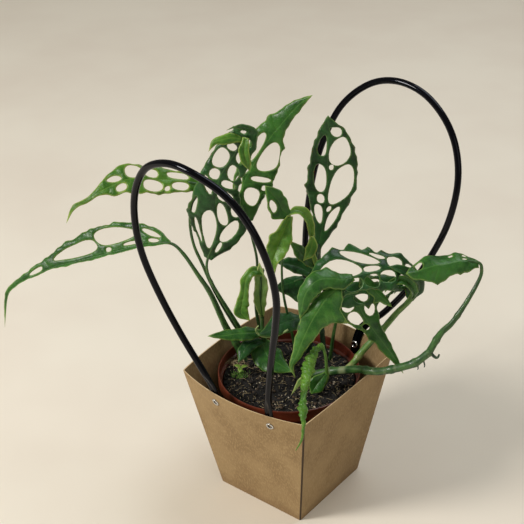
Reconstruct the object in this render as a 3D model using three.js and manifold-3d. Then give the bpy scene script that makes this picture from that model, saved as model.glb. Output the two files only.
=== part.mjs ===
// Potted monstera obliqua that stands in a folded kraft board carrier with two tube handles.
// Millimetres, +Z up. The origin is the centre of the carrier's underside.
import * as THREE from "three";
import { mergeVertices } from "three/addons/utils/BufferGeometryUtils.js";
import Module from "manifold-3d";

const wasm = await Module();
wasm.setup();

// Driving dimensions
const GAP = 0.3;
const NEEDLE = { weld: 0.05, short: 0.08, flat: 0.03, rounds: 20 };
const CARRIER = {
  height: 120, topHalf: 62, baseHalf: 42.5, board: 0.8, perSide: 10, levels: [0, 0.35, 0.65, 0.85, 1],
};
const BOW = { front: 11, right: 1.5, back: 11, left: 5 };
const POT = { baseRadius: 40, rimRadius: 59, rimTop: 112, rimBand: 10, rimStep: 2, wall: 1.2, sides: 40 };
const DRAIN = { holes: 6, radius: 3, ring: 27, sides: 8 };
const SOIL = { level: 103, shoulder: 1, clear: 0.7, rings: 5, ringShift: 0.4, sides: 30, stemClear: 0.4 };
const LUMPS = { height: 0.92, broad: [0.21, 0.19], shift: [1.3, -0.4], fine: [0.47, 0.41], fineShare: 0.5 };
const TUBE = { radius: 2.7, sides: 8, steps: 44, lean: 0.2, seat: 0.4 };
const PRESSED = {
  halfWidth: 4, halfThick: 1.2, from: 24, to: 41, crease: 0.3, creasePower: 8, roll: -0.25,
};
const EYELET = {
  height: 109, bore: 1.2, barrel: 1.9, flange: 3.4, plate: 0.5, clear: 0.35, seat: 0.6, cut: 12,
  sides: 12,
};
const BLADE = {
  thickness: 0.7, marginStep: 8, innerRows: [-0.55, 0, 0.55], zigzag: 0.04, crowded: 2.2, fadeWidth: 8,
  rightPhase: 2,
};
const HOLE_CORNERS = { large: 8, small: 6, largeFrom: 0.04 };
const STEM = { sides: 6, step: 12, extraSteps: 3, footShare: 0.3 };
const RIB_SAMPLES = 40;

// The plant's own axes are across, away and up, turned from the carrier's by this angle.
const PLANT_TURN = THREE.MathUtils.degToRad(39);

// Handle loops as [across the panel, height], from eyelet to eyelet.
const FRONT_LOOP = [
  [-22, 102], [-22, 116], [-25, 130], [-44, 170], [-57, 205], [-65, 240], [-64, 272], [-55, 303],
  [-38, 328], [-14, 340], [10, 339], [33, 327], [50, 308], [60, 280], [62, 250], [56, 220],
  [47, 188], [38, 153], [33, 130], [32, 116], [32, 102],
];
const BACK_LOOP = [
  [-32, 102], [-32, 116], [-34, 130], [-39, 160], [-43, 195], [-43, 232], [-37, 270], [-24, 304],
  [-2, 326], [24, 335], [50, 331], [72, 316], [86, 295], [92, 268], [89, 236], [78, 204],
  [62, 172], [44, 146], [27, 128], [22, 116], [22, 102],
];

// Leaf rows are [across, away, height, left half width, right half width], from base to tip.
// A hole is [place along 0 to 1, place across -1 to 1, half length, half width, slant].
// face is the way the upper side looks at the base and at the tip; fold lifts a half, in degrees.
const VIEWER = [0, -0.87, 0.5];

const LEAVES = {
  farLeftLow: {
    face: [[0, -0.8, 0.6], [0, -0.8, 0.6]],
    fold: [70, 0],
    wave: [0.8, 7],
    rows: [
      [-94, 38, 213, 2, 2], [-103, 40, 212, 5, 11], [-121, 44, 208, 8, 20], [-141, 48, 201, 9, 24],
      [-156, 52, 195, 9, 24], [-177, 57, 187, 8, 23], [-195, 62, 180, 6, 16], [-214, 66, 170, 5, 9],
      [-230, 69, 160, 3, 5], [-241, 71, 147, 2, 3], [-248, 72, 114, 0, 0],
    ],
    holes: [
      [0.3, -0.54, 0.08, 0.26, -0.1], [0.48, -0.38, 0.09, 0.2, -0.06], [0.33, -0.12, 0.02, 0.07, 0],
      [0.14, -0.6, 0.02, 0.12, -0.1], [0.67, -0.4, 0.04, 0.2, 0],
    ],
  },
  farLeftHigh: {
    face: [[0, -0.7, 0.7], [0, -0.7, 0.7]],
    fold: [0, 0],
    wave: [0.8, 6],
    rows: [
      [-64, 29, 269, 3, 3], [-74, 27, 273, 8, 8], [-85, 24, 277, 10, 8], [-97, 21, 279, 12, 10],
      [-110, 16, 283, 12, 11], [-123, 14, 283, 11, 13], [-134, 12, 279, 8, 10], [-144, 10, 275, 3, 4],
      [-154, 8, 269, 2, 2], [-164, 6, 264, 1.5, 2], [-171, 5, 251, 0, 0],
    ],
    holes: [
      [0.45, -0.49, 0.035, 0.36, 0], [0.575, -0.36, 0.028, 0.22, -0.1], [0.54, 0.48, 0.034, 0.26, 0],
      [0.345, 0.42, 0.06, 0.32, 0], [0.25, 0.6, 0.016, 0.16, 0], [0.16, 0.42, 0.045, 0.3, 0],
      [0.19, -0.46, 0.055, 0.24, -0.05], [0.34, -0.46, 0.04, 0.18, 0],
    ],
  },
  left: {
    face: [VIEWER, [0, -0.95, 0.3]],
    fold: [-8, -8],
    wave: [1.2, 8],
    rows: [
      [-64, 30, 202, 3, 3], [-59, 27, 216, 14, 14], [-55, 23, 234, 22, 23], [-55, 19, 252, 23, 21],
      [-54, 16, 269, 16, 18], [-51, 15, 282, 15, 16], [-44, 14, 294, 15, 15], [-38, 13, 304, 14, 13],
      [-33, 12, 314, 11, 12], [-28, 8, 323, 8, 8], [-30, 3, 329, 3, 3], [-42, 0, 328, 0, 0],
    ],
    holes: [
      [0.17, 0.3, 0.08, 0.24, 0], [0.29, 0.77, 0.03, 0.1, 0.1], [0.255, -0.22, 0.044, 0.14, 0.05],
      [0.17, -0.47, 0.032, 0.2, -0.06], [0.26, -0.7, 0.02, 0.12, 0], [0.56, 0.5, 0.06, 0.26, 0],
      [0.47, 0.34, 0.026, 0.2, 0], [0.63, -0.36, 0.026, 0.18, 0.06], [0.36, -0.4, 0.022, 0.24, 0.04],
      [0.5, -0.5, 0.026, 0.2, 0.04],
    ],
  },
  leftLobe: {
    face: [VIEWER, VIEWER],
    fold: [-10, -10],
    wave: [0, 1],
    rows: [
      [-31, 12, 307, 3, 3], [-40, 12, 312, 4, 5], [-48, 11, 314, 3, 3], [-54, 10, 314, 2, 2],
      [-57, 8, 310, 0, 0],
    ],
    holes: [],
  },
  top: {
    face: [VIEWER, VIEWER],
    fold: [-8, -8],
    wave: [0.8, 6],
    rows: [
      [-30, 45, 227, 2, 3], [-34, 44, 245, 6, 13], [-33, 42, 263, 9, 22], [-26, 40, 278, 11, 20],
      [-18, 38, 293, 11, 16], [-10, 37, 306, 10, 9], [0, 36, 319, 7, 4], [11, 35, 332, 4, 3],
      [22, 33, 341, 0, 0],
    ],
    holes: [
      [0.49, -0.52, 0.085, 0.34, -0.06], [0.55, 0.5, 0.045, 0.28, 0.1], [0.42, 0.32, 0.055, 0.24, 0.1],
      [0.31, -0.52, 0.026, 0.3, -0.06], [0.165, -0.43, 0.055, 0.28, 0.06], [0.24, -0.8, 0.026, 0.08, 0.1],
    ],
  },
  rightUpright: {
    face: [VIEWER, VIEWER],
    fold: [-6, -6],
    wave: [0.8, 7],
    rows: [
      [27, 45, 188, 2, 2], [27, 45, 202, 4, 4], [30, 45, 220, 12, 16], [32, 45, 238, 16, 21],
      [34, 44, 256, 18, 23],
      [34, 43, 275, 15, 24], [34, 42, 292, 11, 20], [35, 41, 307, 7, 12], [34, 40, 315, 4, 5],
      [34, 40, 321, 0, 0],
    ],
    holes: [
      [0.78, -0.38, 0.035, 0.28, 0], [0.68, 0.42, 0.048, 0.24, 0.02], [0.65, -0.44, 0.058, 0.34, -0.08],
      [0.51, 0.42, 0.06, 0.28, 0.04], [0.545, -0.2, 0.015, 0.12, -0.04], [0.46, -0.48, 0.07, 0.34, -0.08],
      [0.39, 0.32, 0.028, 0.2, 0.02], [0.3, 0.42, 0.044, 0.24, 0.04], [0.33, -0.26, 0.014, 0.12, -0.05],
      [0.265, -0.46, 0.045, 0.24, -0.08],
    ],
  },
  rightArching: {
    face: [[0, -0.6, 0.8], [-0.3, -0.9, 0.3]],
    fold: [-12, -12],
    wave: [1.4, 8],
    rows: [
      [98, 2, 175, 3, 3], [102, 1, 187, 10, 6], [97, -2, 200, 15, 11], [83, -8, 210, 18, 14],
      [67, -14, 212, 15, 18],
      [51, -20, 211, 12, 26], [37, -25, 207, 12, 26], [26, -30, 199, 18, 22], [18, -35, 187, 20, 15],
      [11, -40, 173, 11, 10], [5, -43, 158, 4, 6], [1, -45, 147, 2, 2], [4, -46, 135, 0, 0],
    ],
    holes: [
      [0.47, -0.42, 0.036, 0.24, -0.04], [0.385, -0.6, 0.034, 0.24, 0], [0.275, 0.34, 0.026, 0.24, 0],
      [0.31, -0.56, 0.014, 0.2, -0.02], [0.7, 0.5, 0.02, 0.18, 0.04], [0.2, -0.5, 0.02, 0.2, 0],
    ],
  },
  rightPendant: {
    face: [[0.2, -0.8, 0.6], [0.2, -0.9, 0.4]],
    fold: [-10, -10],
    wave: [0.8, 5],
    rows: [
      [49, -4, 189, 5, 10], [55, -6, 179, 15, 20], [60, -9, 169, 17, 19], [67, -12, 158, 12, 13],
      [74, -16, 149, 7, 9], [81, -20, 140, 4, 5], [87, -23, 131, 2, 3], [92, -24, 121, 0, 0],
    ],
    holes: [
      [0.13, -0.56, 0.045, 0.26, 0], [0.3, -0.12, 0.045, 0.22, 0.04], [0.27, -0.7, 0.026, 0.14, 0.04],
      [0.2, 0.58, 0.032, 0.2, 0], [0.4, 0.5, 0.03, 0.2, 0],
    ],
  },
  farRight: {
    face: [[0, -0.15, 1], [0, -0.4, 0.9]],
    fold: [-14, -14],
    wave: [1.2, 6],
    rows: [
      [150, -7, 213, 4, 3], [143, -8, 215, 9, 11], [134, -10, 218, 11, 12], [125, -12, 218, 11, 12],
      [116, -14, 218, 13, 12], [107, -15, 215, 11, 10], [98, -17, 214, 7, 6], [91, -19, 213, 0, 0],
    ],
    holes: [
      [0.76, -0.36, 0.045, 0.26, 0], [0.4, -0.48, 0.04, 0.18, 0], [0.24, -0.58, 0.03, 0.2, 0.05],
      [0.27, 0.34, 0.035, 0.16, 0.05], [0.52, 0.45, 0.05, 0.2, 0],
    ],
  },
  strap: {
    face: [[0.3, -0.6, 0.7], [-0.3, -0.5, 0.8]],
    fold: [25, 25],
    wave: [0, 1],
    rows: [
      [24, 20, 197, 2, 2], [21, 20, 210, 4, 4], [20, 18, 224, 4, 4], [19, 16, 237, 4, 4],
      [15, 14, 248, 4, 5], [8, 12, 253, 4, 4], [1, 10, 251, 1.5, 1.5],
    ],
    holes: [],
  },
  centreUp: {
    face: [[0, -0.8, 0.6], [0.3, -0.8, 0.5]],
    fold: [10, 10],
    wave: [0.5, 3],
    rows: [
      [3, 10, 250, 3, 3], [-3, 9, 256, 9, 5], [-6, 8, 264, 9, 6], [-11, 7, 271, 5, 6], [-17, 6, 278, 0, 0],
    ],
    holes: [],
  },
  centreHanging: {
    face: [[0.2, -0.9, 0.4], [0, -0.9, 0.4]],
    fold: [15, 15],
    wave: [1, 5],
    rows: [
      [2, 9, 251, 3, 3], [-2, 6, 240, 5, 8], [-6, 3, 232, 7, 11], [-10, 0, 224, 6, 8], [-11, -3, 217, 3, 3],
      [-11, -5, 209, 0, 0],
    ],
    holes: [],
  },
  centreOlive: {
    face: [[0, -0.7, 0.7], [0, -0.7, 0.7]],
    fold: [10, 10],
    wave: [0.6, 4],
    rows: [[23, 20, 197, 2, 2], [15, 16, 208, 5, 6], [9, 12, 218, 5, 5], [2, 8, 229, 0, 0]],
    holes: [],
  },
  centreDark: {
    face: [[0, -0.7, 0.7], [0, -0.7, 0.7]],
    fold: [8, 8],
    wave: [0.8, 4],
    rows: [[23, 25, 186, 3, 3], [12, 25, 194, 6, 6], [2, 23, 199, 5, 6], [-9, 20, 203, 0, 0]],
    holes: [],
  },
  centreArched: {
    face: [[0, -0.7, 0.7], [0, -0.8, 0.6]],
    fold: [-10, -10],
    wave: [0.6, 3],
    rows: [[14, 28, 182, 3, 3], [8, 26, 181, 14, 3], [0, 24, 180, 7, 3], [-10, 22, 178, 0, 0]],
    holes: [],
  },
  leftPale: {
    face: [VIEWER, VIEWER],
    fold: [20, 20],
    wave: [0.6, 4],
    rows: [
      [-21, 23, 150, 2, 2], [-22, 21, 167, 5, 4], [-21, 21, 180, 5, 5], [-22, 21, 192, 4, 4],
      [-22, 21, 203, 0, 0],
    ],
    holes: [],
  },
  leftCurly: {
    face: [[-0.3, -0.8, 0.5], VIEWER],
    fold: [10, 10],
    wave: [0.8, 5],
    rows: [
      [-19, 22, 193, 3, 3], [-27, 19, 196, 4, 4], [-33, 17, 190, 4, 4], [-35, 16, 178, 4, 4],
      [-37, 15, 168, 5, 4], [-38, 13, 160, 4, 4], [-31, 10, 156, 0, 0],
    ],
    holes: [],
  },
  lowCentre: {
    face: [[0, -0.6, 0.8], [0, -0.7, 0.7]],
    fold: [-8, -8],
    wave: [0.8, 4],
    rows: [
      [11, 22, 148, 3, 3], [4, 19, 148, 9, 8], [-6, 14, 147, 8, 11], [-16, 8, 145, 5, 5],
      [-25, 3, 144, 0, 0],
    ],
    holes: [],
  },
  lowLeft: {
    face: [[0, -0.6, 0.8], [0, -0.6, 0.8]],
    fold: [-8, -8],
    wave: [0.5, 3],
    rows: [
      [-21, 22, 134, 3, 3], [-32, 18, 137, 6, 6], [-42, 17, 137, 6, 5], [-55, 16, 136, 3, 5],
      [-67, 16, 136, 0, 0],
    ],
    holes: [],
  },
  lowFront: {
    face: [[0, -0.5, 0.87], [0, -0.5, 0.87]],
    fold: [-6, -6],
    wave: [0.8, 4],
    rows: [
      [-20, 24, 126, 4, 3], [-20, 19, 119, 10, 12], [-16, 13, 115, 13, 12], [-8, 6, 113, 7, 9],
      [3, -2, 110, 0, 0],
    ],
    holes: [],
  },
  unfurling: {
    face: [[0, -0.9, 0.45], [0, -1, 0.1]],
    fold: [30, 30],
    wave: [0.9, 12],
    rows: [
      [26, -24, 151, 2, 3], [20, -33, 153, 5, 5], [16, -43, 150, 7, 5], [13, -55, 147, 5, 4],
      [11, -67, 145, 3, 3],
      [9, -78, 141, 3, 3], [8, -86, 138, 5, 5], [8, -93, 133, 2, 2], [8, -97, 126, 1.2, 1.5],
      [6, -98, 114, 1, 1], [2, -98, 105, 0, 0],
    ],
    holes: [],
  },
  spur: {
    face: [VIEWER, VIEWER],
    fold: [0, 0],
    wave: [0, 1],
    rows: [[14, -57, 149, 2, 2], [7, -50, 134, 2, 2], [0, -47, 119, 0, 0]],
    holes: [],
  },
  youngDark: {
    face: [VIEWER, VIEWER],
    fold: [12, 12],
    wave: [0.5, 3],
    rows: [[30, -20, 121, 2, 2], [24, -24, 116, 6, 6], [20, -26, 111, 6, 6], [17, -28, 106, 0, 0]],
    holes: [],
  },
};

// Stems are [across, away, height] points with the radius at the foot and at the end.
const STEMS = {
  farLeftLow: {
    points: [
      [-36, 28, 96], [-38, 29, 104], [-44, 32, 118], [-52, 33, 134], [-63, 33, 166], [-73, 34, 185],
      [-84, 36, 204], [-94, 38, 213], [-110, 41, 211],
    ],
    radii: [3.6, 1],
  },
  farLeftHigh: {
    points: [
      [-27, 44, 96], [-30, 43, 104], [-46, 40, 134], [-60, 36, 168], [-69, 36, 194], [-75, 35, 213],
      [-77, 35, 233], [-74, 33, 252], [-65, 29, 268], [-76, 26, 274],
    ],
    radii: [2, 0.9],
  },
  left: {
    points: [
      [-27, 36, 96], [-30, 36, 104], [-38, 34, 126], [-52, 30, 158], [-61, 29, 178], [-65, 30, 191],
      [-64, 30, 202], [-58, 27, 218],
    ],
    radii: [2.4, 0.9],
  },
  top: {
    points: [
      [-17, 46, 96], [-19, 46, 104], [-25, 45, 133], [-26, 45, 158], [-24, 46, 189], [-28, 46, 214],
      [-31, 45, 230], [-34, 44, 243],
    ],
    radii: [1.7, 0.9],
  },
  rightUpright: {
    points: [[31, 36, 96], [31, 37, 104], [29, 43, 131], [27, 46, 160], [27, 45, 188], [27, 45, 205]],
    radii: [2.4, 1],
  },
  creeping: {
    points: [
      [16, 7, 97], [23, 3, 104], [34, -2, 110], [44, -8, 115], [51, -13, 119], [58, -19, 123],
      [66, -26, 126], [75, -29, 128], [91, -32, 134], [101, -33, 139], [111, -34, 149],
    ],
    radii: [3.2, 3.2],
  },
  farRight: {
    points: [
      [109, -34, 146], [120, -23, 158], [129, -20, 166], [138, -17, 179], [146, -13, 192],
      [151, -10, 202], [152, -8, 208], [150, -7, 213], [140, -8, 216],
    ],
    radii: [3, 1],
  },
  rightArching: {
    points: [
      [46, -10, 116], [53, -4, 119], [60, 0, 127], [69, 1, 138], [78, 2, 149], [88, 2, 163], [98, 2, 175],
      [102, 1, 188],
    ],
    radii: [2.6, 1.2],
  },
  rightPendant: {
    points: [
      [36, 27, 96], [36, 26, 104], [37, 16, 127], [39, 8, 150], [43, 1, 174], [49, -4, 188],
      [55, -6, 179],
    ],
    radii: [1.8, 0.9],
  },
  centre: {
    points: [[17, 39, 96], [18, 38, 104], [21, 33, 129], [23, 27, 162], [24, 22, 184], [24, 20, 200]],
    radii: [2.4, 1.4],
  },
  centreArched: {
    points: [[23, 26, 166], [20, 28, 175], [14, 28, 182], [6, 26, 181]],
    radii: [1.2, 0.8],
  },
  centreCrown: {
    points: [[13, 13, 250], [7, 12, 253], [2, 10, 251], [-1, 8, 246], [-4, 5, 238]],
    radii: [1.4, 0.8],
  },
  leftShoot: {
    points: [
      [-12, 30, 96], [-14, 29, 104], [-18, 25, 120], [-21, 24, 134], [-21, 24, 150], [-22, 21, 172],
      [-21, 21, 186], [-19, 22, 195],
    ],
    radii: [2.2, 1.2],
  },
  lowCentre: {
    points: [[6, 40, 96], [7, 40, 104], [11, 34, 122], [12, 24, 145], [4, 19, 148]],
    radii: [1.6, 0.8],
  },
  unfurling: {
    points: [
      [15, -20, 96], [18, -20, 103], [25, -19, 105], [30, -19, 113], [30, -20, 126], [29, -21, 139],
      [26, -24, 150], [20, -33, 153],
    ],
    radii: [1.8, 1],
  },
};

// Each plant node: its name, the leaves and stems fused in it, the stem that stands in the soil, a colour.
const PLANT = [
  {
    name: "leaf_far_left_low",
    leaves: ["farLeftLow"],
    stems: ["farLeftLow"],
    foot: "farLeftLow",
    colour: 0x2f5a32,
  },
  {
    name: "leaf_far_left_high",
    leaves: ["farLeftHigh"],
    stems: ["farLeftHigh"],
    foot: "farLeftHigh",
    colour: 0x5f8a30,
  },
  { name: "leaf_left", leaves: ["left", "leftLobe"], stems: ["left"], foot: "left", colour: 0x2c5a34 },
  { name: "leaf_top", leaves: ["top"], stems: ["top"], foot: "top", colour: 0x3a7035 },
  {
    name: "leaf_right_upright",
    leaves: ["rightUpright"],
    stems: ["rightUpright"],
    foot: "rightUpright",
    colour: 0x2f5f38,
  },
  {
    name: "leaf_right_pendant",
    leaves: ["rightPendant"],
    stems: ["rightPendant"],
    foot: "rightPendant",
    colour: 0x43793a,
  },
  {
    name: "shoot_creeping",
    leaves: ["rightArching", "farRight"],
    stems: ["creeping", "farRight", "rightArching"],
    foot: "creeping",
    colour: 0x386a3b,
  },
  {
    name: "shoot_centre",
    leaves: ["strap", "centreUp", "centreHanging", "centreOlive", "centreDark", "centreArched"],
    stems: ["centre", "centreArched", "centreCrown"],
    foot: "centre",
    colour: 0x5c8f2f,
  },
  {
    name: "shoot_left",
    leaves: ["leftPale", "leftCurly", "lowLeft", "lowFront"],
    stems: ["leftShoot"],
    foot: "leftShoot",
    colour: 0x4d8434,
  },
  {
    name: "leaf_low_centre",
    leaves: ["lowCentre"],
    stems: ["lowCentre"],
    foot: "lowCentre",
    colour: 0x2a5a30,
  },
  {
    name: "leaf_unfurling",
    leaves: ["unfurling", "spur", "youngDark"],
    stems: ["unfurling"],
    foot: "unfurling",
    colour: 0x86a860,
  },
];

// A seedling: its leaf rows are [share of the length, half width].
const SPROUT = {
  place: [-41, 6],
  footDepth: 7,
  height: 9,
  lean: 1,
  radii: [0.9, 0.63],
  leaves: 3,
  firstLeaf: 0.4,
  leafLength: 7,
  leafArch: 2,
  leafRows: [[0, 0.8], [0.35, 2], [0.7, 1.6], [1, 0]],
};

// Geometry helpers

const UP = new THREE.Vector3(0, 0, 1);

function solidOf(geometry) {
  const bare = new THREE.BufferGeometry().setAttribute("position", geometry.getAttribute("position"));
  if (geometry.index) bare.setIndex(geometry.index);
  const merged = mergeVertices(bare, 1e-4);
  const corners = merged.index.array;
  const kept = [];
  for (let i = 0; i < corners.length; i += 3) {
    const [a, b, c] = [corners[i], corners[i + 1], corners[i + 2]];
    if (a !== b && b !== c && c !== a) kept.push(a, b, c);
  }
  return new wasm.Manifold(
    new wasm.Mesh({
      numProp: 3,
      vertProperties: merged.attributes.position.array,
      triVerts: new Uint32Array(kept),
    }),
  );
}

function geometryOf(solid) {
  const mesh = solid.getMesh();
  const geometry = new THREE.BufferGeometry();
  geometry.setAttribute("position", new THREE.BufferAttribute(mesh.vertProperties, 3));
  geometry.setIndex(new THREE.BufferAttribute(mesh.triVerts, 1));
  geometry.computeVertexNormals();
  return geometry;
}

function geometryFrom(points, triangles) {
  const geometry = new THREE.BufferGeometry().setFromPoints(points);
  geometry.setIndex(triangles);
  return geometry;
}

function meanOf(points) {
  return points.reduce((sum, p) => sum.add(p), new THREE.Vector3()).divideScalar(points.length);
}

// Joins rings of equal length into one closed surface with a fan at each end.
function skinOf(rings) {
  const count = rings[0].length;
  const points = [...rings.flat(), meanOf(rings[0]), meanOf(rings.at(-1))];
  const start = points.length - 2;
  const end = points.length - 1;
  const at = (ring, i) => ring * count + (i % count);
  const triangles = [];
  for (let i = 0; i < count; i++) {
    triangles.push(start, at(0, i + 1), at(0, i));
    triangles.push(end, at(rings.length - 1, i), at(rings.length - 1, i + 1));
    for (let ring = 0; ring + 1 < rings.length; ring++) {
      triangles.push(at(ring, i), at(ring, i + 1), at(ring + 1, i + 1));
      triangles.push(at(ring, i), at(ring + 1, i + 1), at(ring + 1, i));
    }
  }
  return geometryFrom(points, triangles);
}

function curveOf(points) {
  return new THREE.CatmullRomCurve3(points, false, "catmullrom", 0.5);
}

// Carrier

function panelBow(side, across, height) {
  const half = carrierHalf(height);
  const rise = height / CARRIER.height;
  return BOW[side] * rise * rise * (1 - (across / half) ** 2);
}

function carrierHalf(height) {
  return THREE.MathUtils.mapLinear(height, 0, CARRIER.height, CARRIER.baseHalf, CARRIER.topHalf);
}

function carrierRing(height, inset) {
  const full = carrierHalf(height);
  const half = full - inset;
  const ring = [];
  ["front", "right", "back", "left"].forEach((side, quarter) => {
    for (let i = 0; i < CARRIER.perSide; i++) {
      const across = half * ((2 * i) / CARRIER.perSide - 1);
      const out = half + panelBow(side, (across * full) / half, height);
      ring.push(new THREE.Vector3(across, -out, height).applyAxisAngle(UP, (quarter * Math.PI) / 2));
    }
  });
  return ring;
}

// The frame of a panel's outer face: the point, and the outward normal there.
function panelFrame(side, across, height) {
  const step = 0.5;
  const onPanel = (x, z) => new THREE.Vector3(x, -carrierHalf(z) - panelBow(side, x, z), z);
  const point = onPanel(across, height);
  const alongX = onPanel(across + step, height).sub(onPanel(across - step, height));
  const alongZ = onPanel(across, height + step).sub(onPanel(across, height - step));
  const normal = alongX.cross(alongZ).normalize();
  if (side === "back") {
    point.applyAxisAngle(UP, Math.PI);
    normal.applyAxisAngle(UP, Math.PI);
  }
  return { point, normal };
}

function eyeletPlaces() {
  const places = [];
  for (const [side, loop] of [["front", FRONT_LOOP], ["back", BACK_LOOP]]) {
    for (const [end, at] of [["left", loop[0]], ["right", loop.at(-1)]]) {
      const across = side === "front" ? at[0] : -at[0];
      places.push({ name: `eyelet_${side}_${end}`, side, ...panelFrame(side, across, EYELET.height) });
    }
  }
  return places;
}

function boreAt(place) {
  const radius = EYELET.barrel + EYELET.clear;
  const bore = new THREE.CylinderGeometry(radius, radius, EYELET.cut, EYELET.sides);
  bore.applyQuaternion(new THREE.Quaternion().setFromUnitVectors(new THREE.Vector3(0, 1, 0), place.normal));
  bore.translate(place.point.x, place.point.y, place.point.z);
  return solidOf(bore);
}

function carrierGeometry() {
  const levels = CARRIER.levels.map((share) => share * CARRIER.height);
  const outside = levels.map((height) => carrierRing(height, 0));
  const floor = CARRIER.board;
  const inside = levels.map((height) => carrierRing(Math.max(height, floor), CARRIER.board)).reverse();
  let carrier = solidOf(skinOf([...outside, ...inside]));
  for (const place of eyeletPlaces()) carrier = carrier.subtract(boreAt(place));
  return cleaned(carrier);
}

// Grow pot with a rim band and drainage holes

function potGeometry() {
  const foot = CARRIER.board + GAP;
  const bandBottom = POT.rimTop - POT.rimBand;
  const neck = POT.rimRadius - POT.rimStep;
  const profile = [
    [0, foot], [POT.baseRadius, foot], [neck, bandBottom], [POT.rimRadius, bandBottom],
    [POT.rimRadius, POT.rimTop],
    [POT.rimRadius - POT.wall, POT.rimTop], [POT.rimRadius - POT.wall, bandBottom + POT.wall],
    [neck - POT.wall, bandBottom + POT.wall], [POT.baseRadius - POT.wall, foot + POT.wall],
    [0, foot + POT.wall],
  ].map(([radius, height]) => new THREE.Vector2(radius, height));
  const turned = new THREE.LatheGeometry(profile, POT.sides).rotateX(Math.PI / 2);
  let pot = solidOf(turned);
  for (let i = 0; i < DRAIN.holes; i++) {
    const angle = (i * 2 * Math.PI) / DRAIN.holes;
    const hole = new THREE.CylinderGeometry(DRAIN.radius, DRAIN.radius, 4 * POT.wall, DRAIN.sides);
    hole.rotateX(Math.PI / 2);
    hole.translate(DRAIN.ring * Math.cos(angle), DRAIN.ring * Math.sin(angle), foot + POT.wall / 2);
    pot = pot.subtract(solidOf(hole));
  }
  return geometryOf(pot);
}

function potInnerRadius(height) {
  const floor = CARRIER.board + GAP + POT.wall;
  const ledge = POT.rimTop - POT.rimBand + POT.wall;
  const neck = POT.rimRadius - POT.rimStep;
  return THREE.MathUtils.mapLinear(height, floor, ledge, POT.baseRadius, neck) - POT.wall;
}

// Soil with a lumpy top and a plain hole for each stem

function soilHeight(x, y) {
  const across = Math.sin(x * LUMPS.broad[0] + LUMPS.shift[0]);
  const broad = across * Math.cos(y * LUMPS.broad[1] + LUMPS.shift[1]);
  const fine = LUMPS.fineShare * Math.sin(x * LUMPS.fine[0] - y * LUMPS.fine[1]);
  return SOIL.level + LUMPS.height * (broad + fine);
}

function soilGeometry() {
  const bottom = CARRIER.board + GAP + POT.wall + GAP;
  const wallTop = POT.rimTop - POT.rimBand - SOIL.shoulder;
  const ringAt = (radius, heightAt) =>
    Array.from({ length: SOIL.sides }, (unused, i) => {
      const angle = (i * 2 * Math.PI) / SOIL.sides;
      const x = radius * Math.cos(angle);
      const y = radius * Math.sin(angle);
      return new THREE.Vector3(x, y, heightAt(x, y));
    });
  const footRadius = potInnerRadius(bottom) - SOIL.clear;
  const topRadius = potInnerRadius(wallTop) - SOIL.clear;
  const rings = [ringAt(footRadius, () => bottom), ringAt(topRadius, () => wallTop)];
  for (let ring = SOIL.rings; ring > 0; ring--) {
    rings.push(ringAt((topRadius * (ring - SOIL.ringShift)) / SOIL.rings, soilHeight));
  }
  let soil = solidOf(skinOf(rings));
  for (const { foot } of PLANT) soil = soil.subtract(solidOf(stemGeometry(STEMS[foot], SOIL.stemClear)));
  soil = soil.subtract(solidOf(sproutStem(SOIL.stemClear)));
  return cleaned(soil);
}

// Tube handles, round along the loop and pressed flat, with a crease, at both riveted ends

function handlePoints(side, loop) {
  const stack = CARRIER.board + TUBE.seat + PRESSED.halfThick;
  const turn = side === "front" ? 1 : -1;
  return loop.map(([across, height]) => {
    const beside = THREE.MathUtils.clamp(across, loop[0][0], loop.at(-1)[0]);
    const held = Math.min(height, CARRIER.height);
    const { point } = panelFrame(side, turn * beside, held);
    const depth = Math.abs(point.y) - stack + TUBE.lean * (height - held);
    return new THREE.Vector3(across, -turn * depth, height);
  });
}

function handleGeometry(side, loop) {
  const turn = side === "front" ? 1 : -1;
  const curve = curveOf(handlePoints(side, loop));
  const length = curve.getLength();
  const rings = [];
  for (let i = 0; i <= TUBE.steps; i++) {
    const place = i / TUBE.steps;
    const centre = curve.getPointAt(place);
    const along = curve.getTangentAt(place);
    const outward = new THREE.Vector3(0, -turn, PRESSED.roll).projectOnPlane(along).normalize();
    const sideways = outward.clone().cross(along).normalize();
    const fromEnd = Math.min(place, 1 - place) * length;
    const round = THREE.MathUtils.smoothstep(fromEnd, PRESSED.from, PRESSED.to);
    const halfWidth = THREE.MathUtils.lerp(PRESSED.halfWidth, TUBE.radius, round);
    const halfThick = THREE.MathUtils.lerp(PRESSED.halfThick, TUBE.radius, round);
    const crease = PRESSED.crease * (1 - round);
    rings.push(
      Array.from({ length: TUBE.sides }, (unused, k) => {
        const angle = (2 * Math.PI * (k + 0.5)) / TUBE.sides;
        const dent = 1 - crease * Math.abs(Math.sin(angle)) ** PRESSED.creasePower;
        return centre
          .clone()
          .addScaledVector(sideways, halfWidth * Math.cos(angle))
          .addScaledVector(outward, halfThick * dent * Math.sin(angle));
      }),
    );
  }
  let handle = solidOf(skinOf(rings));
  for (const place of eyeletPlaces()) {
    if (place.side === side) handle = handle.subtract(boreAt(place));
  }
  return cleaned(handle);
}

// Eyelets that clamp the tube ends to the panels

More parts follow.
